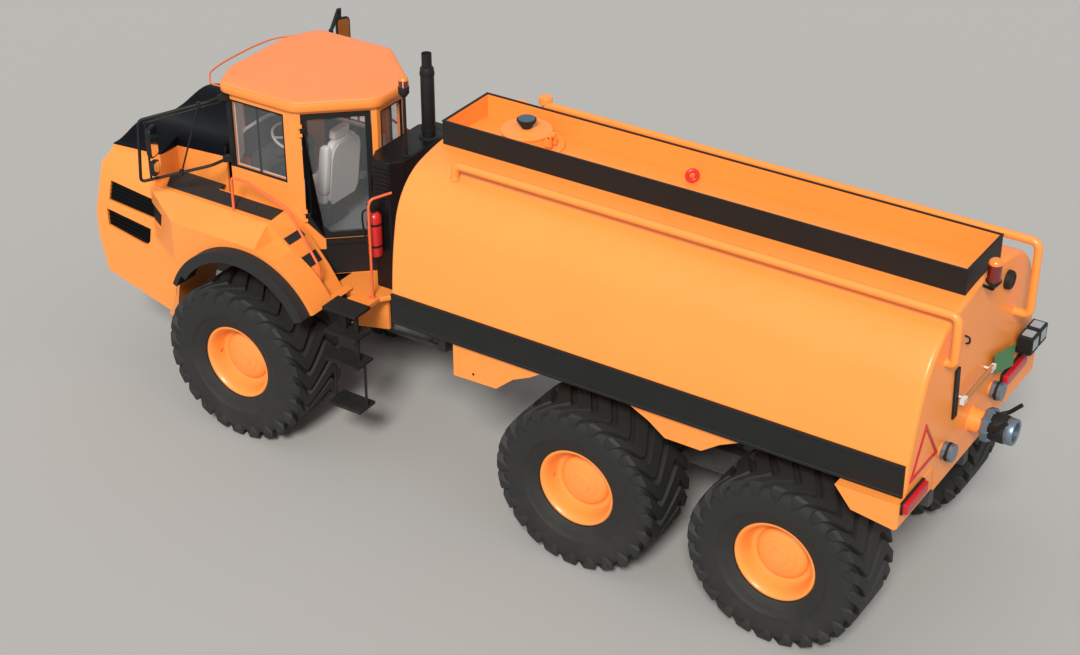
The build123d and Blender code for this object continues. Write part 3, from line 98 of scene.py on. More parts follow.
world = bpy.data.worlds.new("sky")
world.use_nodes = True
scene.world = world
sky = world.node_tree
sky.nodes.clear()
glow = place_node(sky, "Background", {"Color": (0.95, 0.97, 1.0, 1), "Strength": sky_strength})
backdrop = place_node(sky, "Background", {"Color": (0.80, 0.79, 0.77, 1), "Strength": backdrop_strength})
seen = place_node(sky, "LightPath").outputs["Is Camera Ray"]
pick = place_node(sky, "MixShader", {0: seen, 1: glow.outputs[0], 2: backdrop.outputs[0]})
place_node(sky, "OutputWorld", {"Surface": pick.outputs[0]})

sun_data = bpy.data.lights.new("sun", "SUN")
sun_data.energy = sun_strength
sun_data.angle = math.radians(sun_spread)
sun_data.color = (1.0, 0.97, 0.92)
sun = linked("sun", sun_data)
sun.rotation_euler = sunlight.to_track_quat("-Z", "Y").to_euler()

floor_mesh = bpy.data.meshes.new("floor")
floor_corners = [(x * floor_reach, y * floor_reach, 0) for x, y in ((-1, -1), (1, -1), (1, 1), (-1, 1))]
floor_mesh.from_pydata(floor_corners, [], [(0, 1, 2, 3)])
floor = linked("floor", floor_mesh)
floor_look, _, floor_shader = new_look("pale floor")
floor_shader["Base Color"].default_value = (0.40, 0.393, 0.378, 1)
floor_shader["Roughness"].default_value = 0.9
floor_mesh.materials.append(floor_look)

# Tank: a rolled steel vessel with a low crown, round shoulders and nearly upright flanks, its rear
# rim rounded and its front head leaning back. Sprayed in one coat of orange, cleaner than the wheels.
PAINT_ORANGE = (0.97, 0.300, 0.052)
tank_front, tank_rear, tank_top = 1.05, -4.89, 3.69
tank_rim, tank_front_rim, tank_lean = 0.05, 0.03, 0.1215
tank_half, tank_belly, keel_half, keel_low = 1.5, 2.08, 0.8, 1.76


def skin(rings, loop=False):
    """Vertices and faces of closed skins. Point j of ring i is rings[..., i, j]; four-sided faces join each
    ring to the next, the last to the first when loop is set, otherwise one many-sided face closes each end.
    A skin whose enclosed volume comes out negative has its faces turned over."""
    rings = np.asarray(rings, float)
    rings = rings.reshape((-1,) + rings.shape[-3:])
    copies, count, around = rings.shape[:3]
    points = rings.reshape(-1, 3)
    at = np.arange(len(points)).reshape(copies, count, around)
    near = at if loop else at[:, :-1]
    far = np.roll(at, -1, 1) if loop else at[:, 1:]
    quads = np.stack([near, np.roll(near, -1, 2), np.roll(far, -1, 2), far], -1).reshape(copies, -1, 4)
    a, b, c, d = (points[quads[..., k]] for k in range(4))
    middle = rings.mean((1, 2))[:, None]
    turned_over = (((a + b + c + d) / 4 - middle) * np.cross(c - a, d - b)).sum((1, 2)) < 0
    quads[turned_over] = quads[turned_over][..., ::-1]
    faces = quads.reshape(-1, 4).tolist()
    if not loop:
        for cap in (at[:, 0, ::-1].copy(), at[:, -1].copy()):
            cap[turned_over] = cap[turned_over][:, ::-1]
            faces += cap.tolist()
    return points, faces


def joined(*parts):
    """Several sets of vertices and faces as one: each set's indices move up by the vertices before it."""
    points, faces, start = [], [], 0
    for some_points, some_faces in parts:
        points.append(np.asarray(some_points, float))
        faces += [[index + start for index in face] for face in some_faces]
        start += len(some_points)
    return np.concatenate(points), faces


body_of_node = {node: body for body, members in record["behaviour"]["bodies"].items() for node in members}


def mounted(name, mesh, look, node, stands_for, crease):
    """A piece from a mesh, in the material given. It rides on the body that a CAD node belongs to,
    and hides the nodes that it stands for. Edges sharper than the crease stay sharp."""
    mesh.polygons.foreach_set("use_smooth", np.ones(len(mesh.polygons), bool))
    mesh.set_sharp_from_angle(angle=math.radians(crease))
    mesh.materials.append(look)
    piece = linked(name, mesh)
    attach(piece, body_of_node[node])
    if stands_for:
        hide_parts(*stands_for)
    return piece


def fit(name, form, look, node, stands_for=(), crease=35):
    """A mounted piece from vertices and faces."""
    points, faces = form
    mesh = bpy.data.meshes.new(name)
    mesh.from_pydata(np.asarray(points).tolist(), [], faces)
    return mounted(name, mesh, look, node, stands_for, crease)


weather = bpy.data.node_groups.new("weathered coat", "ShaderNodeTree")
COLOUR, VALUE = "NodeSocketColor", "NodeSocketFloat"
for label, kind, value in (
    ("Colour", COLOUR, (0.8, 0.3, 0.1, 1)),
    ("Dust Colour", COLOUR, (0.30, 0.26, 0.21, 1)),
    ("Roughness", VALUE, 0.4),
    ("Mottle", VALUE, 0.05),
    ("Dust", VALUE, 0.3),
    ("Dust Top", VALUE, 2.2),
    ("Rubbing", VALUE, 0.2),
    ("Grain Scale", VALUE, 160.0),
):
    weather.interface.new_socket(label, in_out="INPUT", socket_type=kind).default_value = value
for label, kind in (("Colour", COLOUR), ("Roughness", VALUE), ("Height", VALUE)):
    weather.interface.new_socket(label, in_out="OUTPUT", socket_type=kind)
given = weather.nodes.new("NodeGroupInput").outputs
result = weather.nodes.new("NodeGroupOutput").inputs


def coat(kind, values=None, out=0, **settings):
    """A node inside the weathered coat; gives one of its outputs."""
    return place_node(weather, kind, values, **settings).outputs[out]


def coat_math(operation, *values):
    return coat("Math", dict(enumerate(values)), operation=operation)


def coat_range(value, low, high, **ends):
    return coat("MapRange", {"Value": value, "From Min": low, "From Max": high, **ends})


def coat_mix(share, under, over):
    return coat("Mix", {0: share, 6: under, 7: over}, 2, data_type="RGBA")


where = coat("TexCoord", out="Object")
clouds = coat("TexNoise", {"Vector": where, "Scale": 0.9, "Detail": 3.0})
patches = coat("TexNoise", {"Vector": where, "Scale": 5.0, "Detail": 7.0, "Roughness": 0.62})
grain = coat("TexNoise", {"Vector": where, "Scale": given["Grain Scale"], "Detail": 2.0})
stretched = coat("Mapping", {"Vector": where, "Scale": (2.0, 9.0, 26.0)})
rubs = coat("TexNoise", {"Vector": stretched, "Scale": 3.0, "Detail": 4.0, "Roughness": 0.7})
low_down = coat_range(coat("SeparateXYZ", {0: where}, "Z"), given["Dust Top"], 0.1)
dust_here = coat_math("MULTIPLY", low_down, coat_range(patches, 0.38, 0.72))
dust_share = coat_math("MULTIPLY", dust_here, given["Dust"])
rub_share = coat_math("MULTIPLY", coat_range(rubs, 0.60, 0.75), given["Rubbing"])
cloud_step = coat_math("MULTIPLY", coat_range(clouds, 0.3, 0.7, **{"To Min": -1.0}), given["Mottle"])
cloud_gain = coat_math("ADD", cloud_step, 1.0)
tinted = coat("VectorMath", {0: given["Colour"], "Scale": cloud_gain}, operation="SCALE")
rubbed = coat_mix(rub_share, tinted, (0.62, 0.56, 0.50, 1))
rough_dust = coat_math("MULTIPLY_ADD", dust_share, 0.45, given["Roughness"])
for label, socket in (
    ("Colour", coat_mix(dust_share, rubbed, given["Dust Colour"])),
    ("Roughness", coat_math("MULTIPLY_ADD", patches, 0.12, rough_dust)),
    ("Height", coat_math("MULTIPLY_ADD", rub_share, -0.6, grain)),
):
    weather.links.new(socket, result[label])

CLEAN = {"dust": 0.0, "rubbing": 0.0}
SPOTLESS = {"mottle": 0.0, **CLEAN}


def finish(name, colour, roughness, relief=0.15, metal=0.0, clear_coat=0.0, sheen=0.0, gloss=0.5, **wear):
    """A material whose colour, roughness and fine relief come from the weathered coat group."""
    look, tree, shader = new_look(name)
    layer = tree.nodes.new("ShaderNodeGroup")
    layer.node_tree = weather
    layer.inputs["Colour"].default_value = (*colour, 1)
    layer.inputs["Roughness"].default_value = roughness
    for key, value in wear.items():
        layer.inputs[key.replace("_", " ").title()].default_value = value
    height = {"Strength": relief, "Distance": 0.001, "Height": layer.outputs["Height"]}
    tree.links.new(layer.outputs["Colour"], shader["Base Color"])
    tree.links.new(layer.outputs["Roughness"], shader["Roughness"])
    tree.links.new(place_node(tree, "Bump", height).outputs[0], shader["Normal"])
    shader["Metallic"].default_value = metal
    shader["Coat Weight"].default_value = clear_coat
    shader["Coat Roughness"].default_value = 0.18
    shader["Sheen Weight"].default_value = sheen
    shader["Specular IOR Level"].default_value = gloss
    return look


orange_paint = finish(
    "orange paint", PAINT_ORANGE, 0.36, clear_coat=0.2, mottle=0.03, dust=0.10, rubbing=0.03
)
satin_black = finish(
    "satin black paint", (0.010, 0.0108, 0.0108), 0.5, mottle=0.08, dust=0.06, rubbing=0.02, gloss=0.3
)


def tank_section(inset, steps=22):
    """The vessel's left half from the crown down, as Y and Z. Along each arc the tangent's angle a grows
    evenly and a point is its start plus radius times (sin a, cos a); inset moves it in along its normal."""
    y, z = 0.0, tank_top
    points = []
    for radius, start, end in ((3.2, 0, 13), (0.8, 13, 68), (4.0, 68, 78)):
        angle = np.radians(np.linspace(start, end, steps))
        arc_y = y + radius * (np.sin(angle) - np.sin(angle[0]))
        arc_z = z + radius * (np.cos(angle) - np.cos(angle[0]))
        arc = np.stack([arc_y - inset * np.sin(angle), arc_z - inset * np.cos(angle)], 1)
        points.append(arc[1 if y else 0 :])
        y, z = arc_y[-1], arc_z[-1]
    flank = tank_half - inset
    low = [(flank, 2.43), (flank, tank_belly), (0.88, tank_belly), (keel_half, keel_low), (0.0, keel_low)]
    half = np.concatenate([*points, low])
    return np.concatenate([half, half[1:-1][::-1] * (-1, 1)])


def lifted(x, yz):
    """Pairs of Y and Z as points at one X, or each at its own."""
    return np.column_stack([np.broadcast_to(x, len(yz)), yz])


def vessel_rings():
    """Sections along the tank. Over the rear rim the turn t goes from 0 to a right angle: X moves forward
    by rim times (1 - cos t) while the section grows by rim times sin t. The front is the same, with X
    leaning by Z."""
    turn = np.linspace(0, np.pi / 2, 8)
    rear, front = [], []
    for t in turn:
        yz = tank_section(tank_rim * (1 - np.sin(t)))
        rear.append(lifted(tank_rear + tank_rim * (1 - np.cos(t)), yz))
    middle = [lifted(x, tank_section(0)) for x in np.linspace(-4.6, 0.55, 14)]
    for t in turn[::-1]:
        yz = tank_section(tank_front_rim * (1 - np.sin(t)))
        x = tank_front - tank_lean * (tank_top - yz[:, 1]) - tank_front_rim * (1 - np.cos(t))
        front.append(lifted(x, yz))
    return np.array(rear + middle + front)


def turned(profile, centre, axis=(0, 0, 1), sides=48):
    """A turned form: each profile pair (radius, distance along the axis) is swept round the axis as
    centre + distance * axis + radius * (cos a * u + sin a * v), with u and v square to the axis."""
    profile = np.asarray(profile, float)
    axis = np.asarray(axis, float) / np.linalg.norm(axis)
    u = np.cross(axis, (0, 0, 1) if abs(axis[2]) < 0.9 else (1, 0, 0))
    u /= np.linalg.norm(u)
    v = np.cross(axis, u)
    angle = np.linspace(0, 2 * np.pi, sides, endpoint=False)[:, None]
    around = np.cos(angle) * u + np.sin(angle) * v
    return np.asarray(centre) + profile[:, 1, None, None] * axis + profile[:, 0, None, None] * around


def lathed(profile, centre, axis=(0, 0, 1), sides=48, loop=False):
    """The closed skin of a turned form; loop joins the profile's end to its start, for a hollow one."""
    return skin(turned(profile, centre, axis, sides), loop)


def drum(radius, low, high, inner=0.003):
    """The profile of a plain disc or tube between two distances along its axis."""
    return [(inner, low), (radius, low), (radius, high), (inner, high)]


def slab(outline, low, high, across=2):
    """A plate: an outline of pairs in the plane square to one axis (0 X, 1 Y, 2 Z), between two distances."""
    outline = np.asarray(outline, float)
    levels = np.array([low, high])[:, None, None] * np.ones((2, len(outline), 1))
    flat = np.broadcast_to(outline, (2,) + outline.shape)
    return np.insert(flat, across, levels[..., 0], axis=2)


def plate(outline, low, high, across=2, side=1):
    """The closed skin of a slab, on the left (side 1) or mirrored to the right (side -1)."""
    return skin(slab(outline, low, high, across) * (1, side, 1))


def oblong(a0, a1, b0, b1):
    """A rectangle's corners as pairs, along its first direction, then back."""
    return [(a0, b0), (a1, b0), (a1, b1), (a0, b1)]


neck_x, lid_low, lid_hinge = 0.2, 3.8503, (-0.105, 0, 3.862)
neck_at, across_y = (neck_x, 0, 0), (0, 1, 0)
neck_wall = [(0.245, 3.62), (0.26, 3.62), (0.26, 3.835), (0.266, 3.838), (0.266, 3.85), (0.245, 3.85)]
collar_ring = [(0.262, 3.66), (0.40, 3.66), (0.40, 3.712), (0.385, 3.722), (0.262, 3.722)]
lug = [(-0.13, 3.76), (-0.052, 3.76), (-0.052, 3.838), (-0.081, 3.884), (-0.129, 3.884)]
vessel = [
    skin(vessel_rings()),
    lathed(neck_wall, neck_at, loop=True),
    lathed(collar_ring, neck_at, loop=True),
    *[plate(lug, y, y + 0.03, 1) for y in (-0.06, 0.03)],
    lathed(drum(0.010, -0.06, 0.06, 0.001), lid_hinge, across_y, 24),
]
fit("tank_vessel", joined(*vessel), orange_paint, "tank", ("tank",), 28)

# Manhole lid: a flat pressed lid, painted with the tank, that turns on a pin behind the neck. It carries
# a blue-grey vent cap on a short spigot.
vent_blue = finish("blue-grey cap", (0.045, 0.085, 0.125), 0.42, mottle=0.1, rubbing=0.15, clear_coat=0.2)
above_lid = np.array([0, lid_low])
lid_disc = [
    (0.005, 0), (0.272, 0), (0.272, 0.018), (0.262, 0.025), (0.15, 0.025), (0.14, 0.031), (0.005, 0.031),
]
lid_arm = [(-0.105, 0), (-0.05, 0), (-0.05, 0.025), (-0.105, 0.0357)]
lid = [
    lathed(lid_disc + above_lid, neck_at, sides=64),
    plate(lid_arm + above_lid, -0.0235, 0.0235, 1),
    lathed(drum(0.024, -0.0235, 0.0235, 0.0101), lid_hinge, across_y, 28, True),
]
fit("manhole_lid_plate", joined(*lid), orange_paint, "manhole_lid", ("manhole_lid",))
above_lid = above_lid + (0, 0.03)
cap_neck = [
    (0.005, 0), (0.05, 0), (0.056, 0.012), (0.104, 0.088), (0.104, 0.102), (0.096, 0.105), (0.005, 0.103),
]
cap_top = [(0.005, 0.1025), (0.092, 0.1025), (0.090, 0.112), (0.06, 0.115), (0.005, 0.115)]
fit("manhole_vent_neck", lathed(cap_neck + above_lid, neck_at, sides=40), satin_black, "manhole_lid")
fit("manhole_vent_cap", lathed(cap_top + above_lid, neck_at, sides=40), vent_blue, "manhole_lid")

# Coaming: a long upright frame of sheet round the manhole, so spilt liquid stays on the crown. Its
# outside and rolled top edge are black, its inside orange like the tank.
trough_rear, trough_front, trough_half = -4.84, 0.97, 0.41
outer_sheet = [
    (-0.010, 3.645), (0.0, 3.645), (0.0, 3.915), (0.006, 3.919), (0.006, 3.930), (-0.020, 3.930),
    (-0.020, 3.922), (-0.010, 3.918),
]
liner_sheet = [(-0.020, 3.66), (-0.0105, 3.65), (-0.0105, 3.917), (-0.019, 3.917)]


def trough(section):
    """A section of pairs (outward offset, Z) carried round the trough's rectangle: at each corner the offset
    moves it outwards along both axes, so the section meets itself at the mitre."""
    offset, z = np.array(section).T
    x = np.stack([trough_front + offset, trough_rear - offset, trough_rear - offset, trough_front + offset])
    y = np.stack([trough_half + offset, trough_half + offset, -trough_half - offset, -trough_half - offset])
    return skin(np.stack([x, y, np.broadcast_to(z, x.shape)], -1), True)


fit("coaming_outer_sheet", trough(outer_sheet), satin_black, "coaming", ("coaming",))
fit("coaming_liner", trough(liner_sheet), orange_paint, "coaming")


# A small red ring handle stands inside the coaming, on a stub from the crown.
def circle(radius, sides=14):
    """Pairs round a circle."""
    angle = np.linspace(0, 2 * np.pi, sides, endpoint=False)
    return radius * np.stack([np.cos(angle), np.sin(angle)], 1)


def hoop(middle, axis, radius, tube, sides):
    """A round tube bent into a ring about an axis."""
    return lathed(circle(tube, 24) + (radius, 0), middle, axis, sides, True)


red_enamel = finish("red enamel", (0.62, 0.022, 0.02), 0.32, clear_coat=0.4, mottle=0.05, rubbing=0.1)
handle_at = (-1.66, -0.18)
handle_stub = lathed(drum(0.02, 3.66, 3.71, 0.01), (*handle_at, 0), sides=20)
handle_ring = hoop((*handle_at, 3.765), (-0.65, 0.75, 0.1), 0.052, 0.024, 32)
fit("valve_handle", joined(handle_stub, handle_ring), red_enamel, "tank", crease=40)


# Shoulder rails: bent steel tube along each shoulder for a person on the crown, turned down over the
# rear rim and welded to the vessel at both ends; the right one reaches lower at the tail.
def eased_path(points, bend, steps=7):
    """A broken line with its corners rounded. At each corner the cut length c is the bend, at most half of
    either run, and the curve is (1-t)^2 (P - c a) + 2 t (1-t) P + t^2 (P + c b), with the runs' directions
    a and b."""
    points = np.asarray(points, float)
    runs = np.diff(points, axis=0)
    length = np.linalg.norm(runs, axis=1)
    unit = runs / length[:, None]
    cut = np.minimum(bend, np.minimum(length[:-1], length[1:]) * 0.49)[:, None, None]
    t = np.linspace(0, 1, steps)[:, None]
    corner = points[1:-1, None]
    start, end = corner - cut * unit[:-1, None], corner + cut * unit[1:, None]
    curve = (1 - t) ** 2 * start + 2 * t * (1 - t) * corner + t**2 * end
    return np.concatenate([points[:1], curve.reshape(-1, 3), points[-1:]])


def carried(path, section, flat_side=None):
    """A closed section of pairs carried along a path. The frame at each point is the path's direction t, the
    normal n of its mean plane made square to t, and t x n; a pair (p, q) lands at point + p n + q (t x n)."""
    path = np.asarray(path, float)
    step = np.gradient(path, axis=0)
    t = step / np.linalg.norm(step, axis=1)[:, None]
    plane = np.linalg.svd(path - path.mean(0))[2][-1] if flat_side is None else np.asarray(flat_side, float)
    n = plane - (t @ plane)[:, None] * t
    n /= np.linalg.norm(n, axis=1)[:, None]
    section = np.asarray(section, float)
    return path[:, None] + section[:, 0, None] * n[:, None] + section[:, 1, None] * np.cross(t, n)[:, None]


def pipe(points, radius, bend=0.0, sides=14):
    """A round tube along a broken line with rounded corners."""
    path = eased_path(points, bend) if len(points) > 2 else points
    return skin(carried(path, circle(radius, sides)))


def weld(centre, axis, radius, size=0.012):
    """A fillet weld: a small ring with a three-sided section round a tube's foot."""
    return lathed([(radius - 0.004, 0), (radius + size, 0), (radius - 0.004, size)], centre, axis, 20, True)


def both_sides(build):
    """The same form on the left (side 1) and on the right (side -1)."""
    return joined(build(1), build(-1))


def shoulder_rail(side):
    tube, front, y = 0.042, 0.51, 0.85 * side
    foot, back = (3.2, -4.97) if side > 0 else (2.9, -5.05)
    line = [(front, y, 3.45), (front, y, 3.725), (back, y, 3.70), (back, y, foot), (-4.86, y, foot)]
    feet = [weld((front, y, 3.574), (0, 0, 1), tube), weld((tank_rear, y, foot), (-1, 0, 0), tube)]
    return joined(pipe(line, tube, 0.09, 18), *feet)


fit("shoulder_rails_tube", both_sides(shoulder_rail), orange_paint, "shoulder_rails", ("shoulder_rails",))

# Vents on the right shoulder: a mushroom cowl on a pipe and a low screwed cap.
cowl_profile = [
    (0.01, 3.40), (0.045, 3.40), (0.045, 3.70), (0.076, 3.705), (0.076, 3.765), (0.070, 3.778), (0.01, 3.78),
]
low_cap_profile = [
    (0.01, 3.50), (0.082, 3.50), (0.082, 3.63), (0.09, 3.633), (0.09, 3.662), (0.083, 3.67), (0.01, 3.67),
]
cowl = lathed(cowl_profile, (0.57, -0.93, 0), sides=36)
low_cap = lathed(low_cap_profile, (0.85, -0.84, 0), sides=36)
fit("shoulder_vent_cowls", joined(cowl, low_cap), orange_paint, "shoulder_vents", ("shoulder_vents",))

# Side skirts: a folded black sheet screwed along each flank, its edges turned in to the tank.
skirt_fold = [
    (1.4995, 2.085), (1.528, 2.085), (1.530, 2.092), (1.530, 2.110), (1.524, 2.118), (1.524, 2.397),
    (1.530, 2.405), (1.530, 2.424), (1.528, 2.43), (1.4995, 2.43),
]
screw_head = [(0.002, -0.004), (0.015, -0.004), (0.013, 0.005), (0.002, 0.007)]


def skirt(side):
    sheet = skin([lifted(x, np.array(skirt_fold) * (side, 1)) for x in (-4.87, -4.868, 0.878, 0.88)])
    spots = [(x, side * 1.524, z) for z in (2.15, 2.365) for x in np.linspace(-4.7, 0.7, 13)]
    return joined(sheet, *[lathed(screw_head, at, (0, side, 0), 12) for at in spots])


fit("side_skirt_sheets", both_sides(skirt), satin_black, "side_skirts", ("side_skirts",))

# Tyres: six equal earthmover tyres, 1.87 m tall, of clean black rubber. A smooth round-shouldered carcass
# carries broad lugs parted by narrow zigzag grooves; each lug ends as a rounded wedge on both shoulders.
tyre_rubber = finish(
    "tyre rubber", (0.0135, 0.014, 0.0132), 0.66, relief=0.4, mottle=0.08, dust=0.06, dust_top=1.2,
    rubbing=0.0, grain_scale=70.0,
)
track_half, tyre_radius, lugs_around = 1.3, 0.935, 24
wheel_places = {
    f"{axle}_{hand}": (x, side * track_half, tyre_radius, side)
    for axle, x in (("front", 3.0), ("middle", -1.44), ("rear", -3.69))
    for hand, side in (("left", 1), ("right", -1))
}
carcass = [
    (0.302, 0.4405), (0.328, 0.443), (0.343, 0.462), (0.352, 0.492), (0.356, 0.497), (0.366, 0.53),
    (0.383, 0.59), (0.390, 0.597), (0.3965, 0.655), (0.3985, 0.72), (0.396, 0.77), (0.388, 0.815),
    (0.370, 0.848), (0.335, 0.868), (0.25, 0.874), (0.12, 0.877),
]
carcass = np.concatenate([carcass, np.array(carcass[::-1]) * (-1, 1), [(-0.29, 0.405), (0.29, 0.405)]])
# Stations along a lug's outer half: width position and radius of its root, the same of its crown, how far
# it runs round the tread in metres, and half its width. The other half is this one reversed.
lug_table = np.array(
    [
        (0.390, 0.755, 0.3965, 0.762, 0.000, 0.022),
        (0.385, 0.795, 0.4040, 0.806, 0.000, 0.046),
        (0.375, 0.835, 0.4055, 0.856, -0.005, 0.062),
        (0.355, 0.855, 0.3960, 0.902, -0.015, 0.072),
        (0.335, 0.862, 0.3700, 0.927, -0.040, 0.078),
        (0.300, 0.866, 0.3100, 0.9340, -0.110, 0.082),
        (0.235, 0.868, 0.2350, 0.9350, -0.235, 0.084),
        (0.195, 0.869, 0.1950, 0.9350, -0.258, 0.088),
        (0.140, 0.870, 0.1400, 0.9350, -0.232, 0.086),
        (0.060, 0.870, 0.0600, 0.9350, -0.175, 0.084),
    ]
)
other_half = lug_table[::-1] * (-1, 1, -1, 1, -1, 1) - (0, 0, 0, 0, 0.27, 0)
lug_table = np.concatenate([lug_table, other_half])
lug_section = np.array([(-1.12, 0.0), (-0.98, 0.80), (-0.86, 1.0), (0.86, 1.0), (0.98, 0.80), (1.12, 0.0)])
run_radius = 0.93


def tyre_skin(centre):
    """The carcass is its closed section turned round the axle. A lug's points lie between root and crown:
    width and radius are root + q (crown - root), and the turn is the run plus the section's offset, over
    the radius. All lugs are the first one turned by whole pitches."""
    body = np.moveaxis(turned(carcass[:, ::-1], centre, across_y, 112), 0, 1)
    root, crown = lug_table[:, None, 0:2], lug_table[:, None, 2:4]
    y, r = np.moveaxis(root + lug_section[None, :, 1:2] * (crown - root), -1, 0)
    turn = (lug_table[:, 4, None] + lug_table[:, 5, None] * lug_section[:, 0]) / run_radius
    angle = turn + (np.arange(lugs_around) * 2 * np.pi / lugs_around)[:, None, None]
    lugs = np.stack([r * np.sin(angle), y * np.ones_like(angle), r * np.cos(angle)], -1)
    return joined(skin(body, True), skin(lugs + np.asarray(centre)))


for place, (x, y, z, _) in wheel_places.items():
    fit("lugged_tyre_" + place, tyre_skin((x, y, z)), tyre_rubber, "tyre_" + place, ("tyre_" + place,), 30)

# Rims: pressed steel, painted with the body. A rolled outer lip, a deep cone down to the disc, and a
# broad domed hub cover with two shallow steps; a bent valve stem stands in the gap between them.
rim_profile = [
    (0.004, 0.216), (0.088, 0.215), (0.094, 0.212), (0.097, 0.206), (0.165, 0.201), (0.171, 0.199),
    (0.174, 0.193), (0.225, 0.183), (0.255, 0.170), (0.272, 0.152), (0.279, 0.130), (0.288, 0.119),
    (0.318, 0.120), (0.336, 0.128), (0.352, 0.160), (0.362, 0.215), (0.378, 0.268), (0.394, 0.300),
    (0.408, 0.314), (0.420, 0.318), (0.432, 0.315), (0.4385, 0.306), (0.4395, 0.296), (0.436, 0.290),
    (0.402, 0.286), (0.3995, 0.275), (0.3995, -0.275), (0.402, -0.286), (0.436, -0.290), (0.4395, -0.300),
    (0.432, -0.318), (0.400, -0.318), (0.384, -0.300), (0.380, 0.08), (0.345, 0.09), (0.235, 0.09),
    (0.21, 0.06), (0.20, -0.29), (0.004, -0.29),
]


def rim_skin(centre, side):
    """The rim's profile turned round the axle, and the valve stem along a short bent line."""
    stem = [(0.35, side * 0.16, 0), (0.335, side * 0.20, 0), (0.33, side * 0.24, 0)]
    return joined(lathed(rim_profile, centre, (0, side, 0), 72), pipe(np.add(stem, centre), 0.007, 0.02, 8))


for place, (x, y, z, side) in wheel_places.items():
    fit("dished_rim_" + place, rim_skin((x, y, z), side), orange_paint, "rim_" + place, ("rim_" + place,), 25)

# Running gear under both halves: welded box rails, axle housings, walking beams, the hitch block and the
# engine, all in dark grey chassis paint with road dust; ground chrome on the steering rods.
chassis_grey = finish(
    "chassis paint", (0.045, 0.047, 0.050), 0.55, mottle=0.15, dust=0.4, dust_top=2.0, rubbing=0.1
)
ground_chrome = finish(
    "ground chrome", (0.62, 0.63, 0.65), 0.16, metal=1.0, dust=0.15, rubbing=0.0, mottle=0.02, relief=0.03
)


def repaint(look, *names):
    """Gives CAD pieces whose shape is right a worked-out material in their own slots."""
    for name in names:
        nodes[name].material_slots[0].material = look


def broken_edges(name, node, look, width=0.005):
    """A CAD solid with its hard edges broken: a copy of its mesh with doubles merged and flat triangles
    joined into whole faces, under a narrow bevel."""
    hard_angle, flat_angle = 32, 0.8
    form = bmesh.new()
    form.from_mesh(nodes[node].data)
    bmesh.ops.remove_doubles(form, verts=form.verts, dist=3e-5)
    bmesh.ops.dissolve_limit(form, angle_limit=math.radians(flat_angle), verts=form.verts, edges=form.edges)
    mesh = bpy.data.meshes.new(name)
    form.to_mesh(mesh)
    form.free()
    mesh.materials.clear()
    piece = mounted(name, mesh, look, node, (node,), hard_angle)
    edge = piece.modifiers.new("broken edges", "BEVEL")
    edge.width = width
    edge.segments = 2
    edge.limit_method = "ANGLE"
    edge.angle_limit = math.radians(hard_angle)
    edge.harden_normals = True


broken_edges("rear_frame_rails", "rear_frame", chassis_grey)
broken_edges("front_frame_rails", "front_frame", chassis_grey)
broken_edges("walking_beams", "bogie_beams", chassis_grey, 0.01)
repaint(chassis_grey, "rear_axles", "front_axle", "hitch", "engine")
repaint(chassis_grey, "steer_barrel_left", "steer_barrel_right")
repaint(ground_chrome, "steer_rod_left", "steer_rod_right")

# Under the flanks: lockers ahead of the middle wheels, a scalloped plate over both wheels and a guard
# behind the last one, all folded sheet in the tank's orange.
broken_edges("side_locker_boxes", "side_lockers", orange_paint)
broken_edges("rear_guard_sheets", "rear_mudguards", orange_paint, 0.004)
latch_knob = [(0.002, 0), (0.026, 0), (0.026, 0.012), (0.015, 0.018), (0.002, 0.018)]
leaf_outline = [(0.12, 1.71), (-0.33, 1.72), (-0.33, 2.04), (0.12, 2.04)]


def locker_fittings(side):
    """A door leaf on the locker's outer face, with two hinges and a turn latch."""
    back, face = 1.44 * side, 1.452 * side
    hinges = [lathed(drum(0.012, 0, 0.06, 0.002), (x, face, 2.045), (1, 0, 0), 12) for x in (-0.25, -0.02)]
    latch = lathed(latch_knob, (-0.10, face, 1.76), (0, side, 0), 20)
    return joined(plate(leaf_outline, back, face, 1), *hinges, latch)


fit("side_locker_doors", both_sides(locker_fittings), orange_paint, "side_lockers")

# Nose and front fenders: moulded body panels in the machine's orange, with generously rounded edges,
# bolted to the front frame. Deep black vents sit in the nose sides and the front.
broken_edges("nose_panels", "nose", orange_paint, 0.014)
broken_edges("fender_panels", "fenders", orange_paint, 0.018)
gloss_black = finish(
    "gloss black moulding", (0.0045, 0.0055, 0.007), 0.3, relief=0.04, gloss=0.3, mottle=0.05, dust=0.0,
    rubbing=0.02,
)
vent_black = finish("vent black", (0.0025, 0.0028, 0.003), 0.55, relief=0.04, gloss=0.2, **SPOTLESS)
broken_edges("grille_backing", "grilles", vent_black, 0.004)
nose_half, nose_lean, lean_from = 1.2, 0.1837, 2.11
upper_vent = [(5.115, 2.408), (4.50, 2.350), (4.50, 2.128), (5.135, 2.172)]
lower_vent = [(5.175, 2.058), (4.54, 1.98), (4.60, 1.76), (5.175, 1.842)]
blade_section = np.array([(-0.004, 0.010), (-0.026, -0.012), (-0.026, -0.018), (-0.004, 0.004)])


def blades(corners, count, side):
    """Louvre blades across a vent. Blade k runs between the vent's two ends at the share (k + 1/2) / count of
    its height; its section is a thin tilted parallelogram, and Y follows the nose side as it leans in."""
    corners = np.asarray(corners, float)
    share = ((np.arange(count) + 0.5) / count)[:, None]
    front, back = (corners[k] + share * (corners[m] - corners[k]) for k, m in ((3, 0), (2, 1)))
    x, z = np.stack([front, back], 1).transpose(2, 0, 1)[..., None]
    face = nose_half - np.maximum(z - lean_from, 0) * nose_lean
    points = [x + 0 * blade_section[:, 0], side * (face + blade_section[:, 0]), z + blade_section[:, 1]]
    return skin(np.stack(points, -1))


def side_blades(side):
    return joined(blades(upper_vent, 5, side), blades(lower_vent, 4, side))


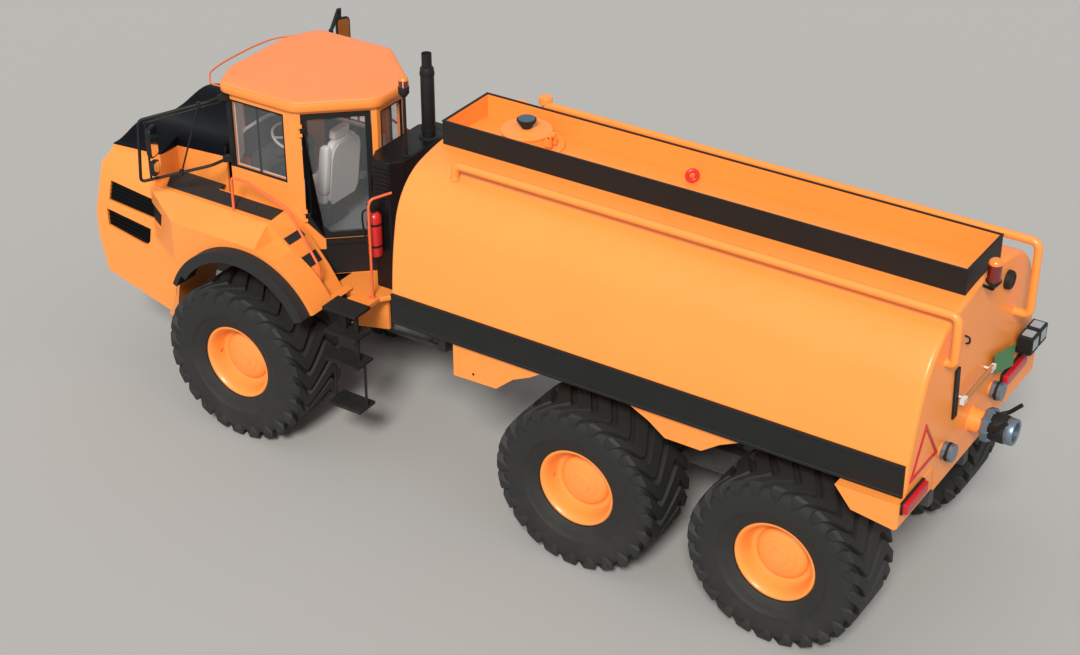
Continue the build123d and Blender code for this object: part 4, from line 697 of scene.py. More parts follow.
fit("nose_side_blades", both_sides(side_blades), vent_black, "grilles")


# Front grille: rounded slats in front of a mesh, and a headlamp unit with two round lamps on each side.
def front_face(z):
    """The nose's front line: X against height, as straight runs between its corners."""
    return np.interp(z, [1.23, 1.65, 1.96, 2.11, 2.6], [5.26, 5.35, 5.35, 5.32, 5.26])


def slat(z):
    """An oval bar across the grille."""
    oval = circle(1, 16) * (0.020, 0.013) + (front_face(z) - 0.012, z)
    return skin([np.insert(oval, 1, y, axis=1) for y in np.linspace(-0.795, 0.795, 9)])


wire_half, wire_reach = 0.004, 0.79
wires = []
for z in np.arange(1.60, 2.44, 0.06):
    x = front_face(z)
    across = oblong(x - 0.045, x - 0.039, z - wire_half, z + wire_half)
    wires.append(plate(across, -wire_reach, wire_reach, 1))
column_z = np.array([1.57, 1.65, 1.96, 2.11, 2.44])
column_line = np.column_stack([front_face(column_z) - 0.046, column_z])
column = np.concatenate([column_line, (column_line + (0.006, 0))[::-1]])
wires += [plate(column, y - wire_half, y + wire_half, 1) for y in np.arange(-0.78, 0.79, 0.06)]
slats = [slat(z) for z in np.linspace(1.60, 2.42, 10)]
fit("front_grille", joined(*slats, *wires), satin_black, "grilles")
lamp_chrome = finish("lamp reflector", (0.80, 0.81, 0.82), 0.12, metal=1.0, relief=0.02, **SPOTLESS)


def clear_look(name, tint, alpha, roughness=0.04, coat=0.5):
    """A tinted pane: light passes straight through by the pane's alpha, and its gloss stays on top."""
    look, tree, shader = new_look(name)
    at = place_node(tree, "TexCoord").outputs["Object"]
    film = place_node(tree, "TexNoise", {"Vector": at, "Scale": 2.2, "Detail": 5.0}).outputs[0]
    spans = {"Alpha": (alpha * 0.88, alpha * 1.15), "Roughness": (roughness, roughness + 0.05)}
    for label, (low, high) in spans.items():
        share = place_node(tree, "MapRange", {"Value": film, "To Min": low, "To Max": high})
        tree.links.new(share.outputs[0], shader[label])
    shader["Base Color"].default_value = (*tint, 1)
    shader["Coat Weight"].default_value = coat
    return look


clear_lens = clear_look("clear lens", (0.75, 0.78, 0.8), 0.22)
lamp_y, lamp_z = 0.96, 2.0
bowl_profile = [
    (0.004, 0.0), (0.025, 0.0), (0.046, 0.022), (0.050, 0.03), (0.050, 0.034), (0.044, 0.034),
    (0.024, 0.010), (0.004, 0.008),
]
lens_section = [(5.334, 1.903), (5.340, 1.903), (5.342, 1.96), (5.314, 2.097), (5.308, 2.097), (5.336, 1.96)]


def headlamps(side):
    y = side * lamp_y
    housing = plate(oblong(y - 0.108, y + 0.108, lamp_z - 0.098, lamp_z + 0.098), 5.285, 5.30, 0)
    bowls = [lathed(bowl_profile, (5.29, y + dy, lamp_z), (1, 0, 0), 32) for dy in (-0.052, 0.052)]
    return joined(housing, *bowls)


def headlamp_lens(side):
    return plate(lens_section, side * lamp_y - 0.107, side * lamp_y + 0.107, 1)


fit("headlamp_reflectors", both_sides(headlamps), lamp_chrome, "grilles")
fit("headlamp_lenses", both_sides(headlamp_lens), clear_lens, "grilles")

# Hood: one black moulding over the engine with a shallow valley along its middle, hinged at its front.
hood_black = finish(
    "hood black", (0.0030, 0.0040, 0.0065), 0.42, gloss=0.06, mottle=0.08, dust=0.0, rubbing=0.02
)
hood_rear, hood_front, hood_step, hood_z, hood_fall = 3.7325, 5.158, 4.448, 2.9015, 0.1 / 1.428
crown_fit = np.polyfit(np.array([0, 0.3, 0.6, 1.0]) ** 2, [0.035, 0.090, 0.130, 0.022], 3)
hood_hinge_x, hood_hinge_z, ear_half = 5.185, 2.812, 0.0155


def hood_rings():
    """Sections across the hood. Its base line falls evenly from the cab to the front edge; the top stands
    above it by an even polynomial in Y through the measured heights, rolled down near the side edge and
    near both ends by 1 - (1 - d)^4 over the last 60 mm."""
    rear, front = hood_rear + np.array([0, 0.004, 0.015, 0.035, 0.06]), np.linspace(3.9, 4.44, 8)
    ahead, nose = np.linspace(4.46, 5.09, 9), hood_front - np.array([0.045, 0.025, 0.010, 0.003, 0])
    x = np.concatenate([rear, front, [4.4475, 4.4485], ahead, nose])[:, None]
    half = np.where(x < hood_step, 0.7145, 1.0)
    base = hood_z - (x - hood_rear) * hood_fall
    y = half * -np.cos(np.linspace(0, np.pi, 41))
    edge = np.clip((half - abs(y)) / 0.06, 0, 1)
    end = np.clip(np.minimum(x - hood_rear, hood_front - x) / 0.06, 0, 1)
    roll = (1 - (1 - edge) ** 4) * (1 - 0.75 * (1 - end) ** 4)
    top = 0.006 + (np.polyval(crown_fit, y**2) - 0.006) * (0.25 + 0.75 * roll)
    over = np.stack([x + 0 * y, y, base + top], -1)
    under = np.stack([x + 0 * y, y, base + 0 * y], -1)[:, ::-1]
    return np.concatenate([over, under], 1)


def hood_ear(side):
    y = side * 0.7
    arm = plate(oblong(5.10, hood_hinge_x, 2.8085, 2.8235), y - ear_half, y + ear_half, 1)
    eye = drum(0.018, -ear_half, ear_half, 0.0081)
    return joined(arm, lathed(eye, (hood_hinge_x, y, hood_hinge_z), across_y, 24, True))


fit("hood_moulding", joined(skin(hood_rings()), both_sides(hood_ear)), hood_black, "hood", ("hood",), 40)

# Walkways: non-slip mats with raised studs on the fenders, two tread strips down the rear slope and a
# rubber flare round each wheel arch, with its turned-down outer edge.
black_rubber = finish(
    "black moulded rubber", (0.012, 0.0128, 0.0135), 0.68, relief=0.4, mottle=0.08, dust=0.03, dust_top=3.0,
    rubbing=0.0, grain_scale=110.0,
)
broken_edges("flares_and_mats", "fender_rubbers", black_rubber, 0.003)
arch_x, arch_z = 2.89, 1.32
flare_edge = np.array([(0.952, 1.612), (0.952, 1.649), (0.888, 1.649), (0.884, 1.640), (0.884, 1.612)])
mat_outline = np.array(
    [(4.43, 0.90), (4.35, 0.72), (3.76, 0.72), (3.76, 0.85), (2.83, 0.85), (2.80, 1.10), (4.30, 1.10)]
)
mat_top, stud_pitch = 2.5479, 0.032


def flare_skirt(side):
    """The flare's outer edge: its section, as radius and Y, swept round the wheel arch."""
    r, y = flare_edge.T
    turn = np.radians(np.linspace(152, 33, 49))[:, None]
    return skin(np.stack([arch_x + r * np.cos(turn), side * y + 0 * turn, arch_z + r * np.sin(turn)], -1))


def inside(points, outline):
    """Which points lie in an outline: a ray along X from them crosses its sides an odd number of times."""
    a, b = outline, np.roll(outline, -1, 0)
    x, y = points[:, None, 0], points[:, None, 1]
    cross = (a[:, 1] > y) != (b[:, 1] > y)
    reach = a[:, 0] + (y - a[:, 1]) * (b[:, 0] - a[:, 0]) / (b[:, 1] - a[:, 1] + 1e-12)
    return (cross & (x < reach)).sum(1) % 2 == 1


def mat_studs(side):
    """Four-sided studs at every crossing of a diagonal lattice that lies inside the mat."""
    i, j = np.meshgrid(np.arange(60), np.arange(18))
    spots = np.stack([2.80 + stud_pitch * i, 0.72 + stud_pitch * (j + (i % 2) / 2)], -1).reshape(-1, 2)
    middle = mat_outline.mean(0)
    spots = spots[inside(spots, middle + (mat_outline - middle) * 0.97)]
    stud = turned([(0.011, 0), (0.007, 0.004)], (0, 0, mat_top), sides=4)
    return skin(stud + np.insert(spots * (1, side), 2, 0, axis=1)[:, None, None])


fit("flare_skirts", both_sides(flare_skirt), black_rubber, "fender_rubbers")
fit("walkway_studs", both_sides(mat_studs), black_rubber, "fender_rubbers", crease=20)

# Arch liners: orange sheets close each front arch ahead of the tyre. One stands behind the nose's rear
# edge and fills the corner up to the tyre; the other runs inwards from it, round the tyre.
nose_corners = [(3.864, 0, 1.70), (3.936, 0, 1.50), (4.03, 0, 1.30), (4.17, 0, 1.12), (4.268, 0, 0.985)]
nose_edge = eased_path(nose_corners, 0.08, 5)
edge_z = nose_edge[:, 2]
tyre_x = np.interp(edge_z, [0.985, 1.12, 1.30, 1.50, 1.70], [4.0, 4.0, 3.965, 3.905, 3.826])
tyre_side = np.column_stack([tyre_x, 0 * tyre_x, edge_z])
sheet, liner_inner = 0.005, 0.83


def flank_y(x):
    """How far out the flank stands: it slants from the nose's side to the fender's between two stations."""
    return np.interp(x, [3.88, 4.45], [1.496, 1.196])


def arch_liner(side):
    """The filler runs from the nose's edge to the tyre's, the inner sheet from there towards the middle."""
    share = np.linspace(0, 1, 5)[:, None, None]
    filler = nose_edge + share * (tyre_side - nose_edge)
    filler[0, :, 0] += 0.03
    filler[..., 1] = flank_y(filler[..., 0]) - 0.008
    fillers = np.concatenate([filler, (filler - (0, sheet, 0))[::-1]]).transpose(1, 0, 2)
    outer = np.column_stack([tyre_x, flank_y(tyre_x) - 0.001, edge_z])
    inner = tyre_side + (0, liner_inner, 0)
    inwards = np.stack([inner, inner + (sheet, 0, 0), outer + (sheet, 0, 0), outer], 1)
    return joined(skin(fillers * (1, side, 1)), skin(inwards * (1, side, 1)))


fit("arch_liners", both_sides(arch_liner), orange_paint, "fenders")

# Cab: a welded steel box with eight walls and rounded edges, in the machine's orange. Inside, pale grey
# panels line the walls and a dark rubber mat lies on the floor.
broken_edges("cab_walls", "cab_shell", orange_paint, 0.016)
cab_half_plan = np.array([(3.72, 0.48), (3.56, 0.82), (2.60, 0.82), (1.95, 0.25)])
cab_plan = np.concatenate([cab_half_plan, cab_half_plan[::-1] * (1, -1)])


def drawn_in(outline, distance):
    """A convex outline, listed anticlockwise, with its sides moved in: each corner moves by the distance
    times (m + n) / (1 + m . n), where m and n are the inward normals of its two sides."""
    run = np.roll(outline, -1, 0) - outline
    run /= np.linalg.norm(run, axis=1)[:, None]
    ahead = np.column_stack([-run[:, 1], run[:, 0]])
    behind = np.roll(ahead, 1, 0)
    return outline + distance * (ahead + behind) / (1 + (ahead * behind).sum(1))[:, None]


def eased(outline, cut, steps=6):
    """An outline whose corners become curves (1-t)^2 A + 2 t (1-t) P + t^2 B, A and B on the two sides."""
    outline = np.asarray(outline, float)
    before, after = np.roll(outline, 1, 0) - outline, np.roll(outline, -1, 0) - outline
    long_before, long_after = (np.linalg.norm(run, axis=1)[:, None] for run in (before, after))
    start = outline + before * np.minimum(cut / long_before, 0.45)
    end = outline + after * np.minimum(cut / long_after, 0.45)
    t = np.linspace(0, 1, steps)[:, None]
    curve = (1 - t) ** 2 * start[:, None] + 2 * t * (1 - t) * outline[:, None] + t**2 * end[:, None]
    return curve.reshape(-1, 2)


def stacked(levels, cut=0.07):
    """Rings of the cab's plan, each drawn in by the first number of a level and set at the second as Z."""
    rings = []
    for inset, z in levels:
        plan = eased(drawn_in(cab_plan, inset), max(cut - inset * 0.4, 0.01))
        rings.append(np.insert(plan, 2, z, axis=1))
    return skin(rings)


# Roof: a pressed cap with a soft fascia. Its top is painted a little towards pink: a painted reflection of
# the sky.
roof_paint_sky_reflection = finish(
    "orange roof with painted sky reflection", (0.96, 0.262, 0.078), 0.46, clear_coat=0.1, mottle=0.04, dust=0.0, rubbing=0.04
)
fascia_levels = [
    (-0.02, 3.7805), (-0.052, 3.783), (-0.060, 3.792), (-0.060, 3.865), (-0.057, 3.876), (-0.045, 3.880),
]
crown_levels = [
    (-0.045, 3.8795), (-0.052, 3.882), (-0.046, 3.891), (-0.03, 3.898), (0.0, 3.903), (0.10, 3.912),
    (0.25, 3.920), (0.40, 3.924),
]
fit("cab_roof_fascia", stacked(fascia_levels), orange_paint, "cab_roof", ("cab_roof",), 50)
# The top takes the pinker paint, a painted sky reflection; the fascia keeps the machine's orange.
fit("cab_roof_top", stacked(crown_levels), roof_paint_sky_reflection, "cab_roof", (), 40)

# Windows: bonded panes of lightly tinted glass with black rubber all round, and one sliding bar on each
# side.
window_glass = clear_look("tinted window glass", (0.25, 0.28, 0.29), 0.13, 0.04, 0.0)
repaint(window_glass, "cab_glass", "door_glass")
wall_y, pane_top = 0.8195, 3.685
side_window = oblong(2.785, 3.495, 2.905, pane_top)


def band(corners, outward, width, proud, inner=0.0):
    """A closed strip on a flat polygon's rim. In the polygon's plane each corner moves away from the middle
    by width along both sides' normals; the strip's section runs from inner to proud along the outward
    normal."""
    corners, outward = np.asarray(corners, float), np.asarray(outward, float)
    ahead = np.roll(corners, -1, 0) - corners
    ahead /= np.linalg.norm(ahead, axis=1)[:, None]
    normal = np.cross(ahead, outward)
    normal *= np.sign(((corners - corners.mean(0)) * normal).sum(1).sum())
    behind = np.roll(normal, 1, 0)
    mitre = (normal + behind) / (1 + (normal * behind).sum(1))[:, None]
    section = [(0, inner), (0, proud * 0.7), (0.15, proud), (0.85, proud), (1, proud * 0.6), (1, inner)]
    return skin(np.stack([corners + width * w * mitre + h * outward for w, h in section], 1), True)


def upright(outline, x):
    """Pairs of Y and Z as points at one X."""
    return np.insert(np.array(outline, float), 0, x, axis=1)


def beside(outline, y):
    """Pairs of X and Z as points at one Y."""
    return np.insert(np.array(outline, float), 1, y, axis=1)


def slanted(side, share, z, out):
    """A point on a slanted rear wall: along from its front corner, up, and out along its normal."""
    along, normal = np.array([-0.7519, -0.6594]), np.array([-0.6594, 0.7519])
    x, y = cab_half_plan[2] + along * share + normal * out
    return (x, side * y, z)


def window_seals(side):
    wall = band(beside(side_window, side * wall_y), (0, side, 0), 0.016, 0.005, -0.02)
    bar = plate(oblong(3.148, 3.172, 2.90, 3.69), 0.779, 0.791, 1, side)
    pillar = plate(oblong(3.512, 3.556, 2.885, 3.76), wall_y, wall_y + 0.005, 1, side)
    return joined(wall, bar, pillar)


def corner_trim(side):
    trim = [(3.7216, 0.446), (3.724, 0.482), (3.5665, 0.8215), (3.561, 0.815), (3.712, 0.478)]
    return plate(trim, 2.90, 3.765, 2, side)


front_rim = upright(oblong(-0.425, 0.425, 2.935, pane_top), 3.7195)
rear_rim = upright(oblong(-0.175, 0.175, 2.505, pane_top), 1.9505)
right_rim = [slanted(-1, s, z, 0.0005) for s, z in oblong(0.085, 0.78, 2.305, pane_top)]
seals = [
    both_sides(window_seals),
    band(front_rim, (1, 0, 0), 0.02, 0.005, -0.02),
    band(rear_rim, (-1, 0, 0), 0.014, 0.005, -0.02),
    band(right_rim, (-0.6594, -0.7519, 0), 0.014, 0.005, -0.02),
    both_sides(corner_trim),
]
fit("window_seals", joined(*seals), satin_black, "cab_shell")

# Door: a black steel frame round one tall pane, hung on two pin hinges, with a pull handle. Below it the
# cab wall is covered by a folded black sill plate.
broken_edges("door_frame_profile", "door_frame", satin_black, 0.006)
handle_bend = ((2.815, -0.004), (2.815, 0.034), (3.005, 0.034), (3.005, -0.004))
handle_line = [slanted(1, 0.765, z, out) for z, out in handle_bend]
fit("door_pull_handle", pipe(handle_line, 0.009, 0.02, 10), satin_black, "door_frame")
sill_section = [
    (1.79, 0.0), (1.79, 0.006), (2.165, 0.006), (2.170, 0.030), (2.2265, 0.030), (2.2265, -0.01),
    (2.2, -0.01), (2.19, 0.0),
]
fold_section = [(0.012, 0.0), (0.012, 0.006), (0.25, 0.006), (0.25, 0.0)]
sill = skin([[slanted(1, s, z, out) for z, out in sill_section] for s in (0.245, 0.25, 0.80, 0.806)])
front_fold = skin([[slanted(1, s, z, out) for s, out in fold_section] for z in (1.80, 2.10)])
fit("door_sill_plate", joined(sill, front_fold), satin_black, "cab_shell")

# Floor mat and wall lining, seen through the glass.
floor_rubber = finish(
    "floor mat", (0.16, 0.172, 0.178), 0.8, relief=0.4, mottle=0.1, grain_scale=90.0, **CLEAN
)
lining_grey = finish(
    "grey wall lining", (0.86, 0.85, 0.835), 0.75, relief=0.3, mottle=0.05, grain_scale=90.0, **CLEAN
)
fit("cab_floor_mat", plate(drawn_in(cab_plan, 0.064), 2.0203, 2.032), floor_rubber, "cab_shell")
lining_low, lining_split, lining_high = 2.033, 2.27, 2.875
wall_face = drawn_in(cab_plan, 0.0605)


def lining(first, last, depth, low, high):
    """A flat lining along some of the cab's walls, from their inner face to a depth."""
    inner = drawn_in(cab_plan, depth)[first:last]
    return plate(np.concatenate([wall_face[first:last], inner[::-1]]), low, high)


def side_lining(side):
    return plate(oblong(2.66, 3.50, 0.7595, 0.746), lining_low, lining_high, 2, side)


def frame_lining(side):
    return band(beside(side_window, side * 0.7595), (0, -side, 0), 0.075, 0.012)


linings = [
    side_lining(-1),
    frame_lining(1),
    frame_lining(-1),
    lining(0, 2, 0.072, 2.90, 3.76),
    lining(6, 8, 0.072, 2.90, 3.76),
    lining(4, 8, 0.074, lining_low, lining_split),
    lining(5, 7, 0.074, lining_split + 0.001, lining_high),
    side_lining(1),
]
fit("cab_wall_lining", joined(*linings), lining_grey, "cab_shell")

# Seat: fabric cushions on a sprung pedestal, with side bolsters, a headrest and a moulded back shell.
seat_fabric = finish(
    "seat fabric", (0.90, 0.885, 0.865), 0.86, relief=0.6, sheen=0.25, mottle=0.06, grain_scale=240.0, **CLEAN
)
pale_plastic = finish("pale grey plastic", (0.66, 0.66, 0.65), 0.5, mottle=0.03, **CLEAN)
seat_x, back_lean = 2.95, 0.12


def cushion(middle, half, channels=(), standing=False, waist=0.05):
    """A stuffed form in sections along its first axis. Sections are superellipses with C(t) and S(t) raised
    to 0.45; their size follows (1 - |u|^6)^(1/6) and narrows by a waist between the ends. Each sewn channel
    presses the section in by exp(-((u - c) / 0.035)^2). A standing one is turned upright and leans back."""
    near_channels = [c + np.linspace(-0.07, 0.07, 9) for c in channels]
    u = np.unique(np.concatenate([np.sin(np.linspace(-np.pi / 2, np.pi / 2, 31)), *near_channels]))
    u = np.clip(u, -0.9995, 0.9995)
    size = (1 - abs(u) ** 6) ** (1 / 6)
    groove = 1 - sum((0.16 * np.exp(-(((u - c) / 0.035) ** 2)) for c in channels), np.zeros_like(u))
    across, up = (np.sign(pair) * abs(pair) ** 0.45 for pair in circle(1, 48).T)
    pull = 1 - waist * np.cos(np.pi * u / 2) ** 2
    along = np.repeat(u[:, None], 48, 1)
    rings = np.stack([along, (size * pull)[:, None] * across, (size * groove)[:, None] * up], -1) * half
    if standing:
        rings = np.stack([rings[..., 2] - back_lean * rings[..., 0], rings[..., 1], rings[..., 0]], -1)
    return skin(rings + middle)


def seat_block(x0, x1, half, cut, low, high):
    """A rounded block on the seat's middle line."""
    return plate(eased(oblong(x1, x0, half, -half), cut), low, high)


pads = [cushion((seat_x + 0.02, 0, 2.425), (0.24, 0.19, 0.068), (-0.35, 0.05, 0.45))]
pads += [cushion((seat_x + 0.02, s * 0.215, 2.43), (0.235, 0.04, 0.07), waist=0.0) for s in (1, -1)]
pads += [cushion((seat_x - 0.225, 0, 2.80), (0.33, 0.19, 0.055), (-0.5, -0.1, 0.3), True)]
pads += [cushion((seat_x - 0.21, s * 0.222, 2.79), (0.31, 0.046, 0.062), (), True, 0.0) for s in (1, -1)]
pads += [cushion((seat_x - 0.27, 0, 3.20), (0.06, 0.14, 0.048), (), True, 0.0)]
fit("seat_cushions", joined(*pads), seat_fabric, "seat", (), 60)
back_rings = []
for z, share in ((2.38, 0.8), (2.46, 1.0), (2.98, 1.0), (3.08, 0.86), (3.13, 0.6)):
    face_x, half = seat_x - 0.285 - 0.13 * (z - 2.5), 0.25 * share
    corners = ((face_x, -half), (face_x - 0.014, -half), (face_x - 0.014, half), (face_x, half))
    back_rings.append([(*corner, z) for corner in corners])
pedestal = [
    seat_block(2.78, 3.10, 0.16, 0.04, 2.0325, 2.33),
    seat_block(2.71, 3.18, 0.24, 0.05, 2.33, 2.365),
    *[seat_block(2.76, 3.12, 0.18, 0.04, z, z + 0.025) for z in np.arange(2.08, 2.31, 0.05)],
]
fit("seat_pedestal", joined(*pedestal), satin_black, "seat", ("seat",))
fit("seat_back_shell", skin(back_rings), pale_plastic, "seat")

# Steering wheel, column and dashboard: a pale grey moulded wheel and dashboard rim over a dark console.
dash_plastic = finish("dark grey plastic", (0.07, 0.073, 0.076), 0.6, relief=0.3, mottle=0.06, **CLEAN)
wheel_middle, wheel_axis = np.array([3.40, 0.0, 2.945]), np.array([-0.4856, 0.0, 0.8742])
hub_profile = [(0.004, -0.03), (0.045, -0.03), (0.055, -0.012), (0.05, 0.008), (0.004, 0.012)]
spoke_u = np.cross(wheel_axis, (0, 0, 1)) / np.linalg.norm(np.cross(wheel_axis, (0, 0, 1)))
spoke_v = np.cross(wheel_axis, spoke_u)
wheel = [hoop(wheel_middle, wheel_axis, 0.205, 0.016, 56), lathed(hub_profile, wheel_middle, wheel_axis, 32)]
for turn in np.radians((90, 205, 335)):
    way = np.cos(turn) * spoke_u + np.sin(turn) * spoke_v
    spoke = ((0.04, -0.010), (0.12, -0.006), (0.198, 0.0))
    line = [wheel_middle + way * r + wheel_axis * d for r, d in spoke]
    wheel.append(skin(carried(line, circle(1, 12) * (0.007, 0.016), wheel_axis)))
fit("steering_wheel", joined(*wheel), pale_plastic, "steering_console")
column_profile = [
    (0.004, -0.30), (0.045, -0.30), (0.045, -0.12), (0.034, -0.08), (0.034, -0.025), (0.004, -0.025),
]
panel_outline = [(-0.38, 2.84), (0.62, 2.84), (0.62, 3.02), (0.50, 3.13), (0.10, 3.15), (-0.38, 3.06)]
dash_outline = [
    (3.655, 2.034), (3.42, 2.034), (3.40, 2.60), (3.36, 2.74), (3.40, 2.80), (3.52, 2.83), (3.655, 2.835),
]
lip_outline = [(3.36, 2.80), (3.35, 2.812), (3.42, 2.875), (3.56, 2.882), (3.56, 2.82), (3.42, 2.80)]
pedal_outline = [(3.33, 2.06), (3.41, 2.20), (3.40, 2.21), (3.32, 2.07)]
tiller_outline = [(2.62, 2.50), (3.00, 2.50), (3.02, 2.53), (3.0, 2.56), (2.62, 2.56)]
rim_line = [(0.66, 2.80), (0.66, 3.03), (0.51, 3.165), (0.10, 3.18), (-0.40, 3.08), (-0.40, 2.84)]
console = [
    plate(panel_outline, 3.625, 3.655, 0),
    lathed(column_profile, wheel_middle, wheel_axis, 28),
    plate(dash_outline, -0.40, 0.40, 1),
    plate(lip_outline, -0.26, 0.26, 1),
    *[plate(pedal_outline, y - 0.05, y + 0.05, 1) for y in (-0.2, 0.2)],
    plate(tiller_outline, -0.37, -0.285, 1),
]
fit("dashboard_rim", pipe(upright(rim_line, 3.63), 0.020, 0.08, 12), pale_plastic, "steering_console")
fit("dashboard_moulding", joined(*console), dash_plastic, "steering_console", ("steering_console",))

# Air box behind the cab: a folded black cabinet with a seam round its lid, louvred on both sides.
broken_edges("air_cabinet", "airbox", gloss_black, 0.012)
lid_corners = [(x, y, 3.3295) for x, y in ((1.87, -0.38), (1.87, 0.38), (1.50, 0.41), (1.50, -0.41))]


def louvres(side):
    blade = np.array([(1.60, 0.0), (1.78, 0.0), (1.78, 0.022), (1.60, 0.030)])
    rows = np.arange(2.86, 3.24, 0.05)
    return joined(*[plate(blade + (0, z), 0.5595, 0.568, 1, side) for z in rows])


lid_seam = band(lid_corners, (0, 0, 1), 0.008, 0.003, -0.004)
fit("air_cabinet_louvres", joined(lid_seam, both_sides(louvres)), gloss_black, "airbox")

# Exhaust stack: a black heat shield over a steel pipe, clamped, with an open end.
stack_at = (1.6, -0.2, 0)
shield_profile = [
    (0.060, 3.33), (0.072, 3.33), (0.072, 3.36), (0.075, 3.37), (0.075, 4.135), (0.068, 4.15),
    (0.055, 4.155), (0.055, 4.308), (0.050, 4.309), (0.048, 4.30), (0.048, 3.6), (0.06, 3.58),
]
stack_foot = [(0.05, 3.33), (0.11, 3.33), (0.11, 3.338), (0.078, 3.352), (0.05, 3.352)]
stack_clamps = [drum(0.081, z, z + 0.035, 0.0745) for z in (3.42, 4.06)]
stack = [lathed(profile, stack_at, loop=True) for profile in (shield_profile, *stack_clamps, stack_foot)]
fit("exhaust_pipe", joined(*stack), satin_black, "exhaust_stack", ("exhaust_stack",))

# Flashing beacon on the air box: a black foot on a post, a dark red lens and an amber top.
red_lens = finish("dark red lens", (0.16, 0.005, 0.004), 0.15, clear_coat=0.8, relief=0.02, **SPOTLESS)
amber_lens = finish("amber lens", (0.80, 0.22, 0.02), 0.10, clear_coat=0.8, relief=0.02, **SPOTLESS)
beacon_at = (1.54, 0.3)


def beacon(at, base, scale, low):
    """A turned foot, a lens whose radius ripples by 1.2 mm in eight waves, and a domed top. Their profiles
    are in units of the scale, above the base; the lens starts at the height low."""
    lens_top, dome_low, core, tip = 0.1275, 0.128, 0.003 / scale, 0.004 / scale
    z = np.linspace(low, lens_top, 65)
    wave = 0.047 - 0.0012 / scale * (1 - np.cos((z - low) / (lens_top - low) * 16 * np.pi))
    rise = np.radians([0, 15, 30, 45, 60, 75, 86])
    foot = [(tip, -0.035), (0.03, -0.035), (0.053, 0), (0.053, low - 0.006), (0.049, low), (tip, low)]
    lens = [(core, low), *zip(wave, z), (core, lens_top)]
    dome = [(core, dome_low), *zip(0.048 * np.cos(rise), dome_low + 0.040 * np.sin(rise))]
    return [lathed(np.array(profile) * scale + (0, base), (*at, 0)) for profile in (foot, lens, dome)]


foot, low_lens, dome = beacon(beacon_at, 4.06, 1.12, 0.068)
post_profile = [(0.003, 3.3305), (0.05, 3.3305), (0.05, 3.337), (0.018, 3.345), (0.018, 4.04), (0.003, 4.04)]
post = lathed(post_profile, (*beacon_at, 0), sides=24)
fit("cab_beacon_post", joined(post, foot), satin_black, "beacon", ("beacon",))
fit("cab_beacon_low_lens", low_lens, red_lens, "beacon")
fit("cab_beacon_dome", dome, amber_lens, "beacon")

# Deck and ladders: folded orange plate with hanging steps of black non-slip plate.
broken_edges("deck_plates", "rear_deck", orange_paint, 0.006)
broken_edges("ladder_treads", "ladders", satin_black, 0.004)


def tread_teeth(side):
    """Rows of small punched teeth on each step: a cone repeated on a grid."""
    tooth = turned([(0.009, 0.0), (0.005, 0.005)], (0, 0, 0), sides=6)
    x, y = np.meshgrid(np.arange(1.46, 1.87, 0.04), np.arange(1.18, 1.43, 0.035))
    grid = np.stack([x, side * y, np.full(x.shape, 0.0348)], -1).reshape(-1, 3)
    spots = np.concatenate([grid + (0, 0, z) for z in (0.69, 1.25, 1.60, 1.89)])
    return skin(tooth + spots[:, None, None])


fit("ladder_teeth", both_sides(tread_teeth), satin_black, "ladders", (), 20)

# Mirrors: a black tube hoop out from each front cab corner with a stay between its arms, clamps at the
# cab, and two moulded heads with glasses that face the driver. The right mirror stands further back and up.
mirror_glass = finish("mirror glass", (0.86, 0.88, 0.90), 0.03, metal=1.0, relief=0.0, **SPOTLESS)
right_shift = np.array([-0.42, 0, 0.36])
head_y, head_at, head_turn = 1.405, (4.17, 1.45), {1: 14, -1: 27}
hoop_line = [
    (3.55, 0.80, 3.73), (3.64, 1.04, 3.71), (4.23, 1.5, 3.525), (4.29, 1.5, 2.77), (3.64, 1.06, 2.96),
    (3.55, 0.80, 2.99),
]
second_line = [(3.57, 0.84, 3.655), (3.66, 1.05, 3.665), (4.19, 1.465, 3.49)]
stay_ends = [(3.71, 1.095, 3.685), (3.91, 1.243, 2.882)]
holder_ends = [(4.17, 1.455, 3.546), (4.19, 1.435, 2.80)]
clamp_outline = [(3.50, 0.815), (3.60, 0.815), (3.615, 0.90), (3.575, 0.92), (3.50, 0.85)]


def mirror_at(side, points):
    """Points given for the left mirror, for either side. The right one's outer end takes the whole shift, and
    a point takes less of it the nearer it lies to the cab."""
    points = np.asarray(points, float)
    out = np.clip((points[:, 1:2] - 1.0) / 0.4, 0, 1) * (side < 0)
    return points * (1, side, 1) + out * right_shift


def mirror_hoop(side):
    lines = ((hoop_line, 0.018, 0.06, 14), (second_line, 0.011, 0.05, 10), (stay_ends, 0.010, 0, 10))
    tubes = [pipe(mirror_at(side, line), *sizes) for line, *sizes in (*lines, (holder_ends, 0.013, 0, 12))]
    clamps = [plate(eased(clamp_outline, 0.02), z - 0.03, z + 0.03, 2, side) for z in (3.72, 2.985)]
    bosses = [lathed(drum(0.027, -0.03, 0.03, 0.004), at, sides=20) for at in mirror_at(side, stay_ends)]
    return joined(*tubes, *clamps, *bosses)


def turned_in(side, rings):
    """The head turned inwards about its upright holder, so that its glass faces the driver."""
    rings = np.asarray(rings, float)
    dx, dy = rings[..., 0] - 4.13, rings[..., 1] - head_y
    angle = math.radians(head_turn[side])
    c, s = math.cos(angle), math.sin(angle)
    placed = np.stack([head_at[0] + c * dx - s * dy, head_at[1] + s * dx + c * dy, rings[..., 2]], -1)
    return skin(placed * (1, side, 1) + right_shift * (side < 0))


def pressed(outline, levels):
    """Sections of one outline of Y and Z: each level is an X and the outline's share about its middle."""
    middle = outline.mean(0)
    return [upright(middle + (outline - middle) * share, x) for x, share in levels]


def mirror_outline(low, high, half, *rounding):
    return eased(oblong(head_y - half, head_y + half, low, high), *rounding)


